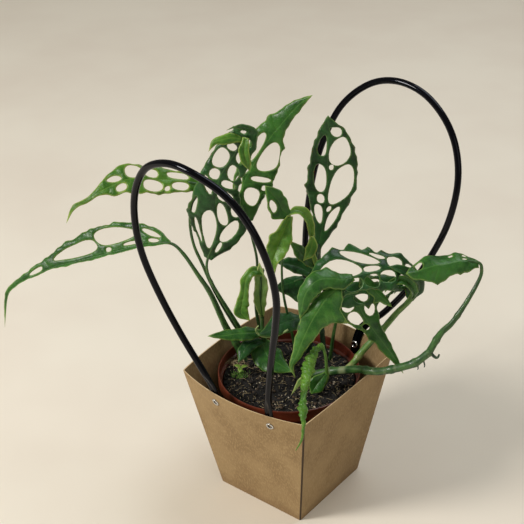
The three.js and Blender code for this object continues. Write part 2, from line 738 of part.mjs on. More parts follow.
function eyeletGeometry(place) {
  const outer = GAP;
  const inner = -(CARRIER.board + TUBE.seat + 2 * PRESSED.halfThick + EYELET.seat);
  const profile = [
    [EYELET.bore, inner - EYELET.plate], [EYELET.flange, inner - EYELET.plate], [EYELET.flange, inner],
    [EYELET.barrel, inner], [EYELET.barrel, outer], [EYELET.flange, outer],
    [EYELET.flange, outer + EYELET.plate],
    [EYELET.bore, outer + EYELET.plate], [EYELET.bore, inner - EYELET.plate],
  ].map(([radius, height]) => new THREE.Vector2(radius, height));
  const ring = new THREE.LatheGeometry(profile, EYELET.sides);
  ring.applyQuaternion(new THREE.Quaternion().setFromUnitVectors(new THREE.Vector3(0, 1, 0), place.normal));
  ring.translate(place.point.x, place.point.y, place.point.z);
  return geometryOf(solidOf(ring));
}

// Stems: tapering tubes. A positive growth gives the hole that the stem's foot stands in.

function stemGeometry(stem, growth = 0) {
  const curve = curveOf(stem.points.map((p) => new THREE.Vector3(...p)));
  const steps = Math.round(curve.getLength() / STEM.step) + STEM.extraSteps;
  const frames = curve.computeFrenetFrames(steps, false);
  const last = growth > 0 ? Math.ceil(steps * STEM.footShare) : steps;
  const rings = [];
  for (let i = 0; i <= last; i++) {
    const radius = THREE.MathUtils.lerp(stem.radii[0], stem.radii[1], i / steps) + growth;
    const centre = curve.getPointAt(i / steps);
    if (i === 0) centre.addScaledVector(frames.tangents[0], -growth);
    rings.push(
      Array.from({ length: STEM.sides }, (unused, k) => {
        const angle = (2 * Math.PI * k) / STEM.sides;
        return centre
          .clone()
          .addScaledVector(frames.normals[i], radius * Math.cos(angle))
          .addScaledVector(frames.binormals[i], radius * Math.sin(angle));
      }),
    );
  }
  return skinOf(rings);
}

// Leaf blades: a midrib, two margins, waved edges and real holes

function bladeCurves(leaf) {
  const rib = leaf.rows.map((row) => new THREE.Vector3(row[0], row[1], row[2]));
  const edges = [1, -1].map((sign) =>
    leaf.rows.map((row, i) => {
      const along = rib[Math.min(i + 1, rib.length - 1)].clone().sub(rib[Math.max(i - 1, 0)]).normalize();
      const share = i / (rib.length - 1);
      const face = new THREE.Vector3(...leaf.face[0]).lerp(new THREE.Vector3(...leaf.face[1]), share);
      face.projectOnPlane(along).normalize();
      const sideways = face.clone().cross(along).multiplyScalar(sign);
      const lift = THREE.MathUtils.degToRad(leaf.fold[sign > 0 ? 0 : 1]);
      const width = row[sign > 0 ? 3 : 4];
      return rib[i]
        .clone()
        .addScaledVector(sideways, width * Math.cos(lift))
        .addScaledVector(face, width * Math.sin(lift));
    }),
  );
  return { rib: curveOf(rib), left: curveOf(edges[0]), right: curveOf(edges[1]) };
}

// A flat point keeps its place on the blade and its position when the blade is laid flat.
function flatPoint(curves, along, across) {
  const place = THREE.MathUtils.clamp(along, 0, 1);
  const rib = curves.rib.getPoint(place);
  const edge = (across >= 0 ? curves.left : curves.right).getPoint(place);
  const segment = place * RIB_SAMPLES;
  const low = Math.min(Math.floor(segment), RIB_SAMPLES - 1);
  const x = THREE.MathUtils.lerp(curves.lengths[low], curves.lengths[low + 1], segment - low);
  const point = new THREE.Vector2(x, across * edge.distanceTo(rib));
  point.along = place;
  point.across = across;
  return point;
}

function curveLengths(curve) {
  const points = curve.getPoints(RIB_SAMPLES);
  const lengths = [0];
  for (let i = 1; i < points.length; i++) {
    lengths.push(lengths[i - 1] + points[i].distanceTo(points[i - 1]));
  }
  return lengths;
}

function bladePosition(curves, leaf, { along, across }) {
  const rib = curves.rib.getPoint(along);
  const edge = (across >= 0 ? curves.left : curves.right).getPoint(along);
  const point = rib.clone().lerp(edge, Math.abs(across));
  const normal = curves.left.getPoint(along).sub(curves.right.getPoint(along));
  normal.cross(curves.rib.getTangent(along)).normalize().negate();
  const [height, waves] = leaf.wave;
  const phase = across > 0 ? 0 : BLADE.rightPhase;
  const ripple = height * across * across * Math.sin(2 * Math.PI * waves * along + phase);
  const fade = Math.min(1, edge.distanceTo(rib) / BLADE.fadeWidth);
  return point.addScaledVector(normal, ripple * fade);
}

function nearEdge(point, outlines, clearance) {
  return outlines.some((outline) =>
    outline.some((a, i) => {
      const b = outline[(i + 1) % outline.length];
      const line = b.clone().sub(a);
      const share = THREE.MathUtils.clamp(point.clone().sub(a).dot(line) / line.lengthSq(), 0, 1);
      return point.distanceTo(a.clone().addScaledVector(line, share)) < clearance;
    }),
  );
}

function inside(point, outline) {
  let odd = false;
  outline.forEach((a, i) => {
    const b = outline[(i + 1) % outline.length];
    const crosses = a.y > point.y !== b.y > point.y;
    if (crosses && point.x < ((b.x - a.x) * (point.y - a.y)) / (b.y - a.y) + a.x) odd = !odd;
  });
  return odd;
}

// Which triangle runs along each directed edge.
function ownersOf(triangles) {
  const owners = new Map();
  triangles.forEach((triangle, index) => {
    triangle.forEach((a, i) => owners.set(`${a},${triangle[(i + 1) % 3]}`, index));
  });
  return owners;
}

// Turns the diagonals of a triangulation until no triangle's circle holds its neighbour's corner.
function relaxTriangles(points, triangles) {
  const mostRounds = 40;
  const least = 1e-6;
  for (let round = 0; round < mostRounds; round++) {
    const owners = ownersOf(triangles);
    const touched = new Set();
    for (const [key, first] of owners) {
      const [a, b] = key.split(",").map(Number);
      const second = owners.get(`${b},${a}`);
      if (second === undefined || touched.has(first) || touched.has(second)) continue;
      const c = triangles[first].find((i) => i !== a && i !== b);
      const d = triangles[second].find((i) => i !== a && i !== b);
      const turn = (p, q, r) => points[q].clone().sub(points[p]).cross(points[r].clone().sub(points[p]));
      if (turn(c, a, d) <= least || turn(d, b, c) <= least) continue;
      const angleAt = (p) => {
        const u = points[a].clone().sub(points[p]);
        const v = points[b].clone().sub(points[p]);
        return Math.acos(THREE.MathUtils.clamp(u.dot(v) / (u.length() * v.length()), -1, 1));
      };
      if (angleAt(c) + angleAt(d) <= Math.PI + least) continue;
      triangles[first] = [c, a, d];
      triangles[second] = [d, b, c];
      touched.add(first);
      touched.add(second);
    }
    if (!touched.size) return triangles;
  }
  return triangles;
}

function bladeOutlines(curves, leaf) {
  const steps = Math.max(HOLE_CORNERS.small, Math.round(curves.lengths.at(-1) / BLADE.marginStep));
  const outline = [];
  for (let i = 0; i <= steps; i++) outline.push(flatPoint(curves, i / steps, 1));
  const closes = leaf.rows.at(-1)[3] === 0;
  for (let i = closes ? steps - 1 : steps; i >= 0; i--) outline.push(flatPoint(curves, i / steps, -1));
  const holes = leaf.holes.map(([along, across, halfLength, halfWidth, slant]) => {
    const corners = halfLength > HOLE_CORNERS.largeFrom ? HOLE_CORNERS.large : HOLE_CORNERS.small;
    return Array.from({ length: corners }, (unused, i) => {
      const angle = (2 * Math.PI * i) / corners;
      const out = halfWidth * Math.sin(angle);
      return flatPoint(curves, along + halfLength * Math.cos(angle) + slant * out, across + out);
    });
  });
  return { outline: outline.reverse(), holes };
}

function bladeSolid(leaf) {
  const curves = bladeCurves(leaf);
  curves.lengths = curveLengths(curves.rib);
  const { outline, holes } = bladeOutlines(curves, leaf);
  const inner = [];
  const stations = Math.round(curves.lengths.at(-1) / BLADE.marginStep);
  for (let i = 1; i < stations; i++) {
    for (const row of BLADE.innerRows) {
      const point = flatPoint(curves, i / stations, row + (i % 2 ? BLADE.zigzag : -BLADE.zigzag));
      const crowded = nearEdge(point, [outline, ...holes], BLADE.crowded);
      const inHole = holes.some((hole) => inside(point, hole));
      if (!crowded && !inHole && inside(point, outline)) inner.push(point);
    }
  }
  const flat = [...outline, ...holes.flat(), ...inner];
  const loops = [...holes, ...inner.map((point) => [point])];
  const triangles = relaxTriangles(flat, THREE.ShapeUtils.triangulateShape(outline, loops));
  return thickened(flat.map((point) => bladePosition(curves, leaf, point)), triangles);
}

// Gives a sheet its thickness: the same triangles on both faces and a wall along every edge.
function thickened(points, triangles) {
  const normals = points.map(() => new THREE.Vector3());
  for (const [a, b, c] of triangles) {
    const normal = points[b].clone().sub(points[a]).cross(points[c].clone().sub(points[a]));
    for (const corner of [a, b, c]) normals[corner].add(normal);
  }
  const count = points.length;
  const shifted = (reach) => points.map((p, i) => p.clone().addScaledVector(normals[i].normalize(), reach));
  const both = [...shifted(BLADE.thickness / 2), ...shifted(-BLADE.thickness / 2)];
  const faces = [];
  const open = new Map();
  for (const [a, b, c] of triangles) {
    faces.push(a, b, c, a + count, c + count, b + count);
    for (const [from, to] of [[a, b], [b, c], [c, a]]) {
      if (!open.delete(`${to},${from}`)) open.set(`${from},${to}`, [from, to]);
    }
  }
  for (const [from, to] of open.values()) {
    faces.push(to, from, from + count, to, from + count, to + count);
  }
  return solidOf(geometryFrom(both, faces));
}

// Removes the needle triangles that joins and cuts leave: a short edge closes up, and the long edge
// of a flat triangle turns to the corner beside it.
function cleaned(solid) {
  const mesh = solid.asOriginal().simplify(NEEDLE.weld).getMesh();
  const points = [];
  for (let i = 0; i < mesh.vertProperties.length; i += 3) {
    points.push(new THREE.Vector3(...mesh.vertProperties.subarray(i, i + 3)));
  }
  let triangles = [];
  for (let i = 0; i < mesh.triVerts.length; i += 3) triangles.push([...mesh.triVerts.subarray(i, i + 3)]);
  for (let round = 0; round < NEEDLE.rounds; round++) {
    const next = closeShortEdges(points, turnLongEdges(points, triangles));
    if (String(next) === String(triangles)) break;
    triangles = next;
  }
  const geometry = geometryFrom(points, triangles.flat()).toNonIndexed();
  geometry.computeVertexNormals();
  return geometry;
}

function facing(points, [a, b, c]) {
  return points[b].clone().sub(points[a]).cross(points[c].clone().sub(points[a]));
}

// The lowest height of a triangle, above its longest edge.
function flatness(points, triangle) {
  const edges = triangle.map((a, i) => points[a].distanceTo(points[triangle[(i + 1) % 3]]));
  return facing(points, triangle).length() / Math.max(...edges);
}

function turnLongEdges(points, triangles) {
  const result = triangles.map((triangle) => [...triangle]);
  const owners = ownersOf(result);
  const touched = new Set();
  result.forEach((triangle, index) => {
    const height = flatness(points, triangle);
    if (height >= NEEDLE.flat || touched.has(index)) return;
    const reach = (i) => points[triangle[i]].distanceTo(points[triangle[(i + 1) % 3]]);
    const longest = [0, 1, 2].reduce((best, i) => (reach(i) > reach(best) ? i : best), 0);
    const [a, b, c] = [0, 1, 2].map((i) => triangle[(longest + i) % 3]);
    const other = owners.get(`${b},${a}`);
    if (touched.has(other)) return;
    const d = result[other].find((corner) => corner !== a && corner !== b);
    if (owners.has(`${c},${d}`) || owners.has(`${d},${c}`)) return;
    const pair = [[a, d, c], [d, b, c]];
    const outward = facing(points, result[other]);
    const sound = pair.every((t) => facing(points, t).dot(outward) > 0 && flatness(points, t) > height);
    if (!sound) return;
    [result[index], result[other]] = pair;
    touched.add(index).add(other);
    for (const edge of [[d, a], [b, d], [c, b], [a, c]]) touched.add(owners.get(String(edge)));
  });
  return result;
}

function closeShortEdges(points, triangles) {
  const around = points.map(() => new Set());
  triangles.forEach((triangle, index) => triangle.forEach((corner) => around[corner].add(index)));
  const ring = (corner) => new Set([...around[corner]].flatMap((index) => triangles[index]));
  const moved = new Map();
  const touched = new Set();
  for (const [a, b] of triangles.flatMap(([p, q, r]) => [[p, q], [q, r], [r, p]])) {
    if (points[a].distanceTo(points[b]) >= NEEDLE.short) continue;
    const [first, second] = [ring(a), ring(b)];
    if ([...first, ...second].some((corner) => touched.has(corner))) continue;
    const shared = [...first].filter((corner) => second.has(corner));
    if (shared.length !== 4) continue;
    const kept = [...around[a], ...around[b]].filter((index) => {
      return !(triangles[index].includes(a) && triangles[index].includes(b));
    });
    const sound = kept.every((index) => {
      const after = triangles[index].map((corner) => (corner === b ? a : corner));
      const before = triangles[index];
      if (flatness(points, before) < NEEDLE.flat) return true;
      return facing(points, after).dot(facing(points, before)) > 0;
    });
    if (!sound) continue;
    moved.set(b, a);
    for (const corner of [...first, ...second]) touched.add(corner);
  }
  return triangles
    .map((triangle) => triangle.map((corner) => moved.get(corner) ?? corner))
    .filter(([a, b, c]) => a !== b && b !== c && c !== a);
}

// The largest body of a solid, without any loose scrap that a join leaves.
function largestOf(solid) {
  return solid.decompose().reduce((best, body) => (body.volume() > best.volume() ? body : best));
}

function plantGeometry({ leaves, stems }) {
  const solids = [
    ...stems.map((name) => solidOf(stemGeometry(STEMS[name]))),
    ...leaves.map((name) => bladeSolid(LEAVES[name])),
  ];
  return cleaned(largestOf(solids.reduce((joined, solid) => joined.add(solid))));
}

// A seedling beside the left wall of the pot

function sproutStem(growth = 0) {
  const [x, y] = SPROUT.place;
  const [lean, top] = [SPROUT.lean, SOIL.level + SPROUT.height];
  const points = [[x, y, SOIL.level - SPROUT.footDepth], [x, y, SOIL.level], [x + lean, y - lean, top]];
  return stemGeometry({ points, radii: SPROUT.radii }, growth);
}

function sproutLeaf(angle) {
  const [x, y] = SPROUT.place;
  const { lean, height } = SPROUT;
  const root = new THREE.Vector3(x + lean, y - lean, SOIL.level + height - lean);
  const out = new THREE.Vector3(Math.cos(angle), Math.sin(angle), 0);
  const rows = SPROUT.leafRows.map(([share, half]) => {
    const at = root.clone().addScaledVector(out, share * SPROUT.leafLength);
    return [at.x, at.y, at.z + SPROUT.leafArch * share * (1 - share), half, half];
  });
  return { face: [[0, 0, 1], [0, 0, 1]], fold: [15, 15], wave: [0, 1], rows, holes: [] };
}

function sproutGeometry() {
  let sprout = solidOf(sproutStem());
  for (let i = 0; i < SPROUT.leaves; i++) {
    const angle = (2 * Math.PI * i) / SPROUT.leaves + SPROUT.firstLeaf;
    sprout = sprout.add(bladeSolid(sproutLeaf(angle)));
  }
  return cleaned(sprout);
}

// The whole part

function meshOf(name, geometry, colour, roughness, metalness = 0) {
  const material = new THREE.MeshStandardMaterial({ color: colour, roughness, metalness });
  const mesh = new THREE.Mesh(geometry, material);
  mesh.name = name;
  return mesh;
}

const part = new THREE.Group();
part.add(meshOf("carrier", carrierGeometry(), 0xa5875f, 0.85));
part.add(meshOf("pot", potGeometry(), 0x7a3820, 0.6));
part.add(meshOf("handle_front", handleGeometry("front", FRONT_LOOP), 0x15161c, 0.3));
part.add(meshOf("handle_back", handleGeometry("back", BACK_LOOP), 0x15161c, 0.3));
for (const place of eyeletPlaces()) part.add(meshOf(place.name, eyeletGeometry(place), 0xc8c8c8, 0.25, 1));

const plant = new THREE.Group();
plant.rotation.z = PLANT_TURN;
plant.add(meshOf("soil", soilGeometry(), 0x2a1d14, 0.95));
for (const node of PLANT) plant.add(meshOf(node.name, plantGeometry(node), node.colour, 0.5));
plant.add(meshOf("sprout", sproutGeometry(), 0x6f9a3a, 0.55));
part.add(plant);

export default part;
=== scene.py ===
# Potted monstera obliqua that stands in a folded kraft board carrier with two tube handles.
# Tables are in millimetres and meshes in metres, in the carrier's frame: the origin is the centre
# of its underside, +Z is up, and the front handle is on the -Y side.
import math
from itertools import combinations

import bpy
import numpy as np
from mathutils import Matrix, Vector
from mathutils.geometry import delaunay_2d_cdt


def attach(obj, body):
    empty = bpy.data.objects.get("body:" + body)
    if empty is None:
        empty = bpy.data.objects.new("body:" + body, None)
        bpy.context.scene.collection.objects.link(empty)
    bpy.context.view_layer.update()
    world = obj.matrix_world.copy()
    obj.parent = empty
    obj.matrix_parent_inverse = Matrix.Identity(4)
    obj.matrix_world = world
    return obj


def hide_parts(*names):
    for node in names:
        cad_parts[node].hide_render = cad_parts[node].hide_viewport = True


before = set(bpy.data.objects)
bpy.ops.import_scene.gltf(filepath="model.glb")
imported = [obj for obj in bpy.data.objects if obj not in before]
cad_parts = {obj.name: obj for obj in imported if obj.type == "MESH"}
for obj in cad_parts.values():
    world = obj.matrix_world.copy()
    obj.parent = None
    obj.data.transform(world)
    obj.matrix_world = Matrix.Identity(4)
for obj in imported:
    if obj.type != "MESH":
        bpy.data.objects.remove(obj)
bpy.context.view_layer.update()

MM = 0.001
SEED = 11
rng = np.random.default_rng(SEED)

# Driving dimensions, the same as the frame's
GAP = 0.3
HEIGHT = 120
TOP_HALF = 62
BASE_HALF = 42.5
BOARD = 0.8
BOW = {"front": 11, "right": 1.5, "back": 11, "left": 5}
POT = {"base": 40, "rim": 59, "top": 112, "band": 10, "step": 2, "wall": 1.2}
DRAIN = {"holes": 6, "radius": 3, "ring": 27}
SOIL_LEVEL = 103
TUBE = {"radius": 2.7, "lean": 0.2, "seat": 0.4}
PRESSED = {"half_width": 4, "half_thick": 1.2, "start": 24, "end": 41, "roll": -0.25}
EYELET = {"height": 109, "bore": 1.2, "barrel": 1.9, "flange": 3.4, "plate": 0.5, "seat": 0.6}

# The plant's own axes are across, away and up, turned from the carrier's by this angle.
PLANT_TURN = math.radians(39)
VIEWER = [0, -0.87, 0.5]

# Handle loops as [across the panel, height], from eyelet to eyelet
FRONT_LOOP = [
    [-22, 102], [-22, 116], [-25, 130], [-44, 170], [-57, 205], [-65, 240], [-64, 272], [-55, 303],
    [-38, 328], [-14, 340], [10, 339], [33, 327], [50, 308], [60, 280], [62, 250], [56, 220],
    [47, 188], [38, 153], [33, 130], [32, 116], [32, 102],
]

BACK_LOOP = [
    [-32, 102], [-32, 116], [-34, 130], [-39, 160], [-43, 195], [-43, 232], [-37, 270], [-24, 304],
    [-2, 326], [24, 335], [50, 331], [72, 316], [86, 295], [92, 268], [89, 236], [78, 204],
    [62, 172], [44, 146], [27, 128], [22, 116], [22, 102],
]

# Leaf blades. Each row on the midrib, from the stem to the tip, is across, away, height and the half
# widths to the left and right. A blade faces one way at its foot and another at its tip, each half is
# folded up by an angle in degrees, and the margins' waves have a height and a count. A bump is its
# place along, its side, height and half length. A hole is its place along and across, half length,
# half width and slant, in shares, and lace is the most that the holes may be widened.
LEAVES = {
    "farLeftLow": {
        "face": [[0, -0.8, 0.6], [0, -0.8, 0.6]], "fold": [70, 0], "wave": [0.8, 7],
        "rows": [
            [-94, 38, 213, 2, 2], [-103, 40, 212, 5, 11], [-121, 44, 208, 8, 20],
            [-141, 48, 201, 9, 24], [-156, 52, 195, 9, 24], [-177, 57, 187, 8, 20],
            [-195, 62, 180, 6, 12.5], [-214, 66, 170, 5, 7], [-230, 69, 160, 3, 4],
            [-241, 71, 147, 2, 3], [-248, 72, 114, 0, 0],
        ],
        "holes": [
            [0.305, -0.57, 0.088, 0.25, -0.04], [0.225, -0.17, 0.03, 0.055, 0],
            [0.335, -0.13, 0.014, 0.07, 0], [0.495, -0.43, 0.086, 0.23, -0.03],
            [0.69, -0.35, 0.03, 0.2, 0], [0.135, -0.6, 0.03, 0.16, -0.1],
            [0.13, -0.22, 0.022, 0.1, 0],
        ],
    },
    "farLeftHigh": {
        "face": [[0, -0.7, 0.7], [0, -0.7, 0.7]], "fold": [0, 0], "wave": [0.8, 6],
        "rows": [
            [-64, 29, 269, 3, 3], [-74, 27, 273, 8, 8], [-85, 24, 277, 10, 8],
            [-97, 21, 279, 12, 10], [-110, 16, 283, 12, 11], [-123, 14, 283, 11, 13],
            [-134, 12, 279, 8, 10], [-144, 10, 275, 3, 4], [-154, 8, 269, 2, 2],
            [-164, 6, 264, 1.5, 2], [-171, 5, 251, 0, 0],
        ],
        "holes": [
            [0.445, -0.48, 0.042, 0.38, 0], [0.35, -0.42, 0.034, 0.26, 0],
            [0.345, 0.43, 0.05, 0.35, 0], [0.26, 0.64, 0.016, 0.14, 0], [0.17, 0.5, 0.05, 0.33, 0],
            [0.19, -0.45, 0.058, 0.3, -0.03], [0.57, -0.38, 0.03, 0.24, -0.1],
            [0.54, 0.48, 0.034, 0.28, 0],
        ],
    },
    "left": {
        "face": [VIEWER, [0, -0.95, 0.3]], "fold": [-8, -8], "wave": [1.2, 8],
        "rows": [
            [-64, 30, 202, 3, 3], [-59, 27, 216, 14, 14], [-55, 23, 234, 22, 23],
            [-55, 19, 252, 23, 21], [-54, 16, 269, 16, 18], [-51, 15, 282, 15, 16],
            [-44, 14, 294, 15, 15], [-38, 13, 304, 14, 13], [-33, 12, 314, 11, 12],
            [-28, 8, 323, 7, 7], [-31, 3, 329, 2.5, 2.5], [-38, 1, 330, 0.8, 0.8],
            [-44, 0, 328, 0, 0],
        ],
        "lace": 1.25,
        "bumps": [
            [0.18, -1, 2, 0.05], [0.33, 1, 1.5, 0.04], [0.43, -1, 1.5, 0.03], [0.72, 1, 3, 0.03],
            [0.76, -1, 2, 0.03],
        ],
        "holes": [
            [0.14, 0.74, 0.05, 0.06, 0.02], [0.08, -0.35, 0.022, 0.1, 0.04],
            [0.155, 0.25, 0.076, 0.23, 0], [0.265, 0.8, 0.033, 0.09, 0.1],
            [0.23, -0.2, 0.042, 0.15, 0.05], [0.15, -0.46, 0.033, 0.24, -0.08],
            [0.243, -0.7, 0.024, 0.11, 0], [0.51, 0.48, 0.048, 0.33, 0.02],
            [0.427, 0.3, 0.022, 0.25, 0], [0.57, -0.42, 0.028, 0.22, 0.04],
            [0.317, -0.36, 0.024, 0.27, 0.03], [0.363, 0.5, 0.022, 0.22, 0.1],
            [0.47, -0.48, 0.03, 0.26, 0.04], [0.602, 0.3, 0.018, 0.26, 0],
            [0.395, -0.5, 0.022, 0.26, 0], [0.67, -0.3, 0.02, 0.3, 0], [0.655, 0.5, 0.016, 0.16, 0],
            [0.735, 0.35, 0.016, 0.22, 0],
        ],
    },
    "leftLobe": {
        "face": [VIEWER, VIEWER], "fold": [-10, -10], "wave": [0, 1],
        "rows": [
            [-32, 10, 316, 2, 2], [-40, 9, 318, 4, 4], [-48, 8, 317, 4, 3.5], [-54, 8, 315, 2.5, 2],
            [-58, 7, 308, 0, 0],
        ],
    },
    "leftTwist": {
        "face": [[-0.4, -0.87, 0.3], [0.3, -0.87, 0.5]], "fold": [20, 20], "wave": [0.4, 3],
        "rows": [
            [-29, 9, 318, 3, 3], [-31, 6, 309, 4, 4.5], [-30, 5, 301, 4, 4], [-27, 6, 291, 0, 0],
        ],
    },
    "top": {
        "face": [VIEWER, VIEWER], "fold": [-8, -8], "wave": [0.8, 6],
        "rows": [
            [-30, 45, 227, 2, 4], [-34, 44, 245, 6, 17], [-33, 42, 263, 9, 22],
            [-26, 40, 278, 11, 20], [-18, 38, 293, 12, 17], [-10, 37, 306, 13, 10],
            [0, 36, 319, 9, 5], [11, 35, 332, 5, 3.5], [22, 33, 341, 0, 0],
        ],
        "lace": 1.2,
        "bumps": [[0.61, -1, 3, 0.05], [0.28, -1, 1.5, 0.04], [0.72, 1, 2, 0.04]],
        "holes": [
            [0.5, -0.5, 0.09, 0.38, -0.08], [0.51, 0.42, 0.085, 0.24, 0],
            [0.325, -0.54, 0.02, 0.32, -0.05], [0.165, -0.4, 0.056, 0.28, 0.06],
            [0.245, -0.78, 0.024, 0.09, 0.08], [0.36, 0.45, 0.035, 0.3, 0],
            [0.24, 0.5, 0.045, 0.28, 0],
        ],
    },
    "rightUpright": {
        "face": [VIEWER, VIEWER], "fold": [-6, -6], "wave": [0.8, 7],
        "rows": [
            [27, 45, 188, 2, 2], [27, 45, 202, 4, 3], [30, 45, 220, 7, 11], [32, 45, 238, 12, 17],
            [34, 44, 256, 17, 23], [34, 43, 275, 15, 24], [34, 42, 292, 12, 21],
            [35, 41, 307, 8, 13], [34, 40, 315, 4, 5], [34, 40, 321, 0, 0],
        ],
        "bumps": [
            [0.45, 1, 2, 0.025], [0.35, -1, 1.2, 0.025], [0.44, -1, 1.2, 0.025], [0.6, -1, 1, 0.03],
        ],
        "holes": [
            [0.775, -0.4, 0.034, 0.3, 0], [0.685, 0.36, 0.056, 0.25, 0],
            [0.65, -0.44, 0.07, 0.37, -0.08], [0.5, 0.36, 0.066, 0.27, 0.03],
            [0.556, -0.13, 0.014, 0.07, -0.04], [0.465, -0.48, 0.082, 0.37, -0.1],
            [0.385, 0.3, 0.024, 0.18, 0.02], [0.3, 0.42, 0.048, 0.27, 0.03],
            [0.33, -0.2, 0.013, 0.09, -0.06], [0.275, -0.46, 0.05, 0.24, -0.12],
        ],
    },
    "rightArching": {
        "face": [[0, -0.6, 0.8], [-0.3, -0.9, 0.3]], "fold": [-12, -12], "wave": [1.8, 8],
        "rows": [
            [98, 2, 175, 3, 3], [102, 1, 187, 10, 6], [97, -2, 200, 15, 11], [83, -8, 210, 17, 14],
            [67, -14, 212, 14, 18], [51, -20, 211, 12, 26], [37, -25, 207, 11, 25],
            [26, -30, 199, 10, 18], [19, -34, 189, 8, 12], [14, -38, 179, 6, 8],
            [10, -40, 171, 4, 5], [7, -41, 165, 0, 0],
        ],
        "lace": 1.4,
        "bumps": [
            [0.41, -1, 6.5, 0.03], [0.355, -1, 4.5, 0.026], [0.48, -1, 3.5, 0.026],
            [0.3, -1, 2.5, 0.022], [0.24, -1, 2, 0.022], [0.55, -1, 1.5, 0.022], [0.33, 1, 2, 0.03],
            [0.22, 1, 2, 0.03],
        ],
        "holes": [
            [0.395, -0.66, 0.036, 0.22, -0.14], [0.495, -0.38, 0.052, 0.25, -0.1],
            [0.3, 0.3, 0.028, 0.24, 0], [0.33, -0.76, 0.018, 0.13, -0.1],
            [0.37, -0.14, 0.032, 0.12, 0], [0.265, -0.45, 0.024, 0.24, 0],
            [0.375, 0.5, 0.028, 0.3, 0], [0.47, 0.5, 0.034, 0.32, 0], [0.62, -0.45, 0.034, 0.2, 0],
            [0.205, 0.4, 0.026, 0.26, 0], [0.57, 0.45, 0.03, 0.3, 0], [0.19, -0.4, 0.022, 0.24, 0],
            [0.72, -0.35, 0.03, 0.2, 0],
        ],
    },
    "rightPendant": {
        "face": [[0.2, -0.8, 0.6], [0.2, -0.9, 0.4]], "fold": [-10, -10], "wave": [0.9, 5],
        "rows": [
            [49, -4, 189, 5, 8], [55, -6, 179, 15, 17], [60, -9, 169, 15, 14], [67, -12, 158, 9, 7],
            [74, -16, 149, 6, 6], [81, -20, 140, 4, 4.5], [87, -23, 131, 2, 2.5],
            [92, -24, 121, 0, 0],
        ],
        "lace": 1.4,
        "bumps": [
            [0.18, -1, 3, 0.04], [0.12, 1, 3, 0.03], [0.28, 1, 2.5, 0.03], [0.5, -1, 1.5, 0.05],
        ],
        "holes": [
            [0.115, 0.5, 0.05, 0.26, 0.02], [0.12, -0.45, 0.045, 0.26, 0],
            [0.265, 0.5, 0.05, 0.24, 0], [0.275, -0.5, 0.055, 0.24, 0.03],
            [0.19, 0.82, 0.02, 0.08, 0], [0.385, -0.4, 0.024, 0.2, 0],
        ],
    },
    "farRight": {
        "face": [[0, -0.4, 0.9], [0, -0.6, 0.8]], "fold": [-26, -22], "wave": [1.2, 3],
        "rows": [
            [150, -7, 213, 4, 3], [143, -8, 215, 7, 10], [134, -10, 217, 9, 11],
            [125, -12, 216, 10, 11], [116, -14, 216, 13, 13], [107, -15, 214, 11, 12],
            [98, -17, 212, 6, 7], [91, -19, 212, 0, 0],
        ],
        "bumps": [
            [0.22, -1, 1.2, 0.1], [0.45, -1, 0.8, 0.1], [0.62, 1, 1.5, 0.08], [0.3, 1, 1.5, 0.08],
        ],
        "holes": [
            [0.78, -0.42, 0.045, 0.3, 0], [0.36, -0.7, 0.024, 0.08, 0],
            [0.19, -0.7, 0.024, 0.12, 0.05], [0.21, -0.26, 0.024, 0.07, 0.05],
        ],
    },
    "strap": {
        "face": [[0.3, -0.6, 0.7], [-0.3, -0.5, 0.8]], "fold": [25, 25], "wave": [0.5, 4],
        "rows": [
            [24, 20, 197, 2, 2], [21, 20, 210, 2.5, 2.5], [20, 18, 224, 2.5, 2.5],
            [19, 16, 237, 3.5, 3.5], [15, 14, 248, 4, 5], [8, 12, 253, 4, 4.5],
            [1, 10, 251, 1.5, 1.5],
        ],
    },
    "centreUp": {
        "face": [[0, -0.8, 0.6], [0.3, -0.8, 0.5]], "fold": [10, 10], "wave": [0.8, 3],
        "rows": [
            [3, 10, 250, 3, 3], [-3, 9, 256, 10, 6], [-6, 8, 264, 11, 7], [-11, 7, 271, 7, 6],
            [-16, 6, 279, 0, 0],
        ],
        "holes": [[0.52, 0.55, 0.13, 0.24, 0]],
    },
    "centreHanging": {
        "face": [[0.6, -0.8, 0.3], [-0.35, -0.9, 0.3]], "fold": [26, 22], "wave": [1.4, 4],
        "rows": [
            [2, 9, 251, 3, 3], [-2, 6, 240, 7, 8], [-6, 3, 232, 10, 11], [-9, 0, 224, 9, 8],
            [-11, -3, 217, 5, 5], [-10, -5, 207, 0, 0],
        ],
    },
    "centreOlive": {
        "face": [[0, -0.7, 0.7], [0, -0.7, 0.7]], "fold": [10, 10], "wave": [0.6, 4],
        "rows": [[23, 20, 197, 2, 2], [15, 16, 208, 5, 6], [9, 12, 218, 5, 5], [2, 8, 229, 0, 0]],
    },
    "centreDark": {
        "face": [[0, -0.7, 0.7], [0, -0.7, 0.7]], "fold": [8, 8], "wave": [0.8, 4],
        "rows": [[23, 25, 186, 3, 3], [12, 25, 194, 6, 6], [2, 23, 199, 5, 6], [-9, 20, 203, 0, 0]],
    },
    "centreArched": {
        "face": [[0, -0.7, 0.7], [0, -0.8, 0.6]], "fold": [-10, -10], "wave": [0.6, 3],
        "rows": [
            [14, 28, 182, 3, 3], [8, 26, 181, 19, 5], [0, 24, 180, 12, 5], [-11, 22, 177, 0, 0],
        ],
    },
    "leftPale": {
        "face": [VIEWER, VIEWER], "fold": [20, 20], "wave": [0.6, 4],
        "rows": [
            [-21, 23, 150, 2, 2], [-22, 21, 167, 6, 5], [-21, 21, 180, 6, 6], [-22, 21, 192, 4, 4],
            [-22, 21, 203, 0, 0],
        ],
    },
    "leftCurly": {
        "face": [[-0.3, -0.8, 0.5], VIEWER], "fold": [10, 10], "wave": [1, 5],
        "rows": [
            [-19, 22, 193, 3, 3], [-27, 19, 196, 5, 4], [-33, 17, 190, 4, 4], [-35, 16, 178, 4, 4],
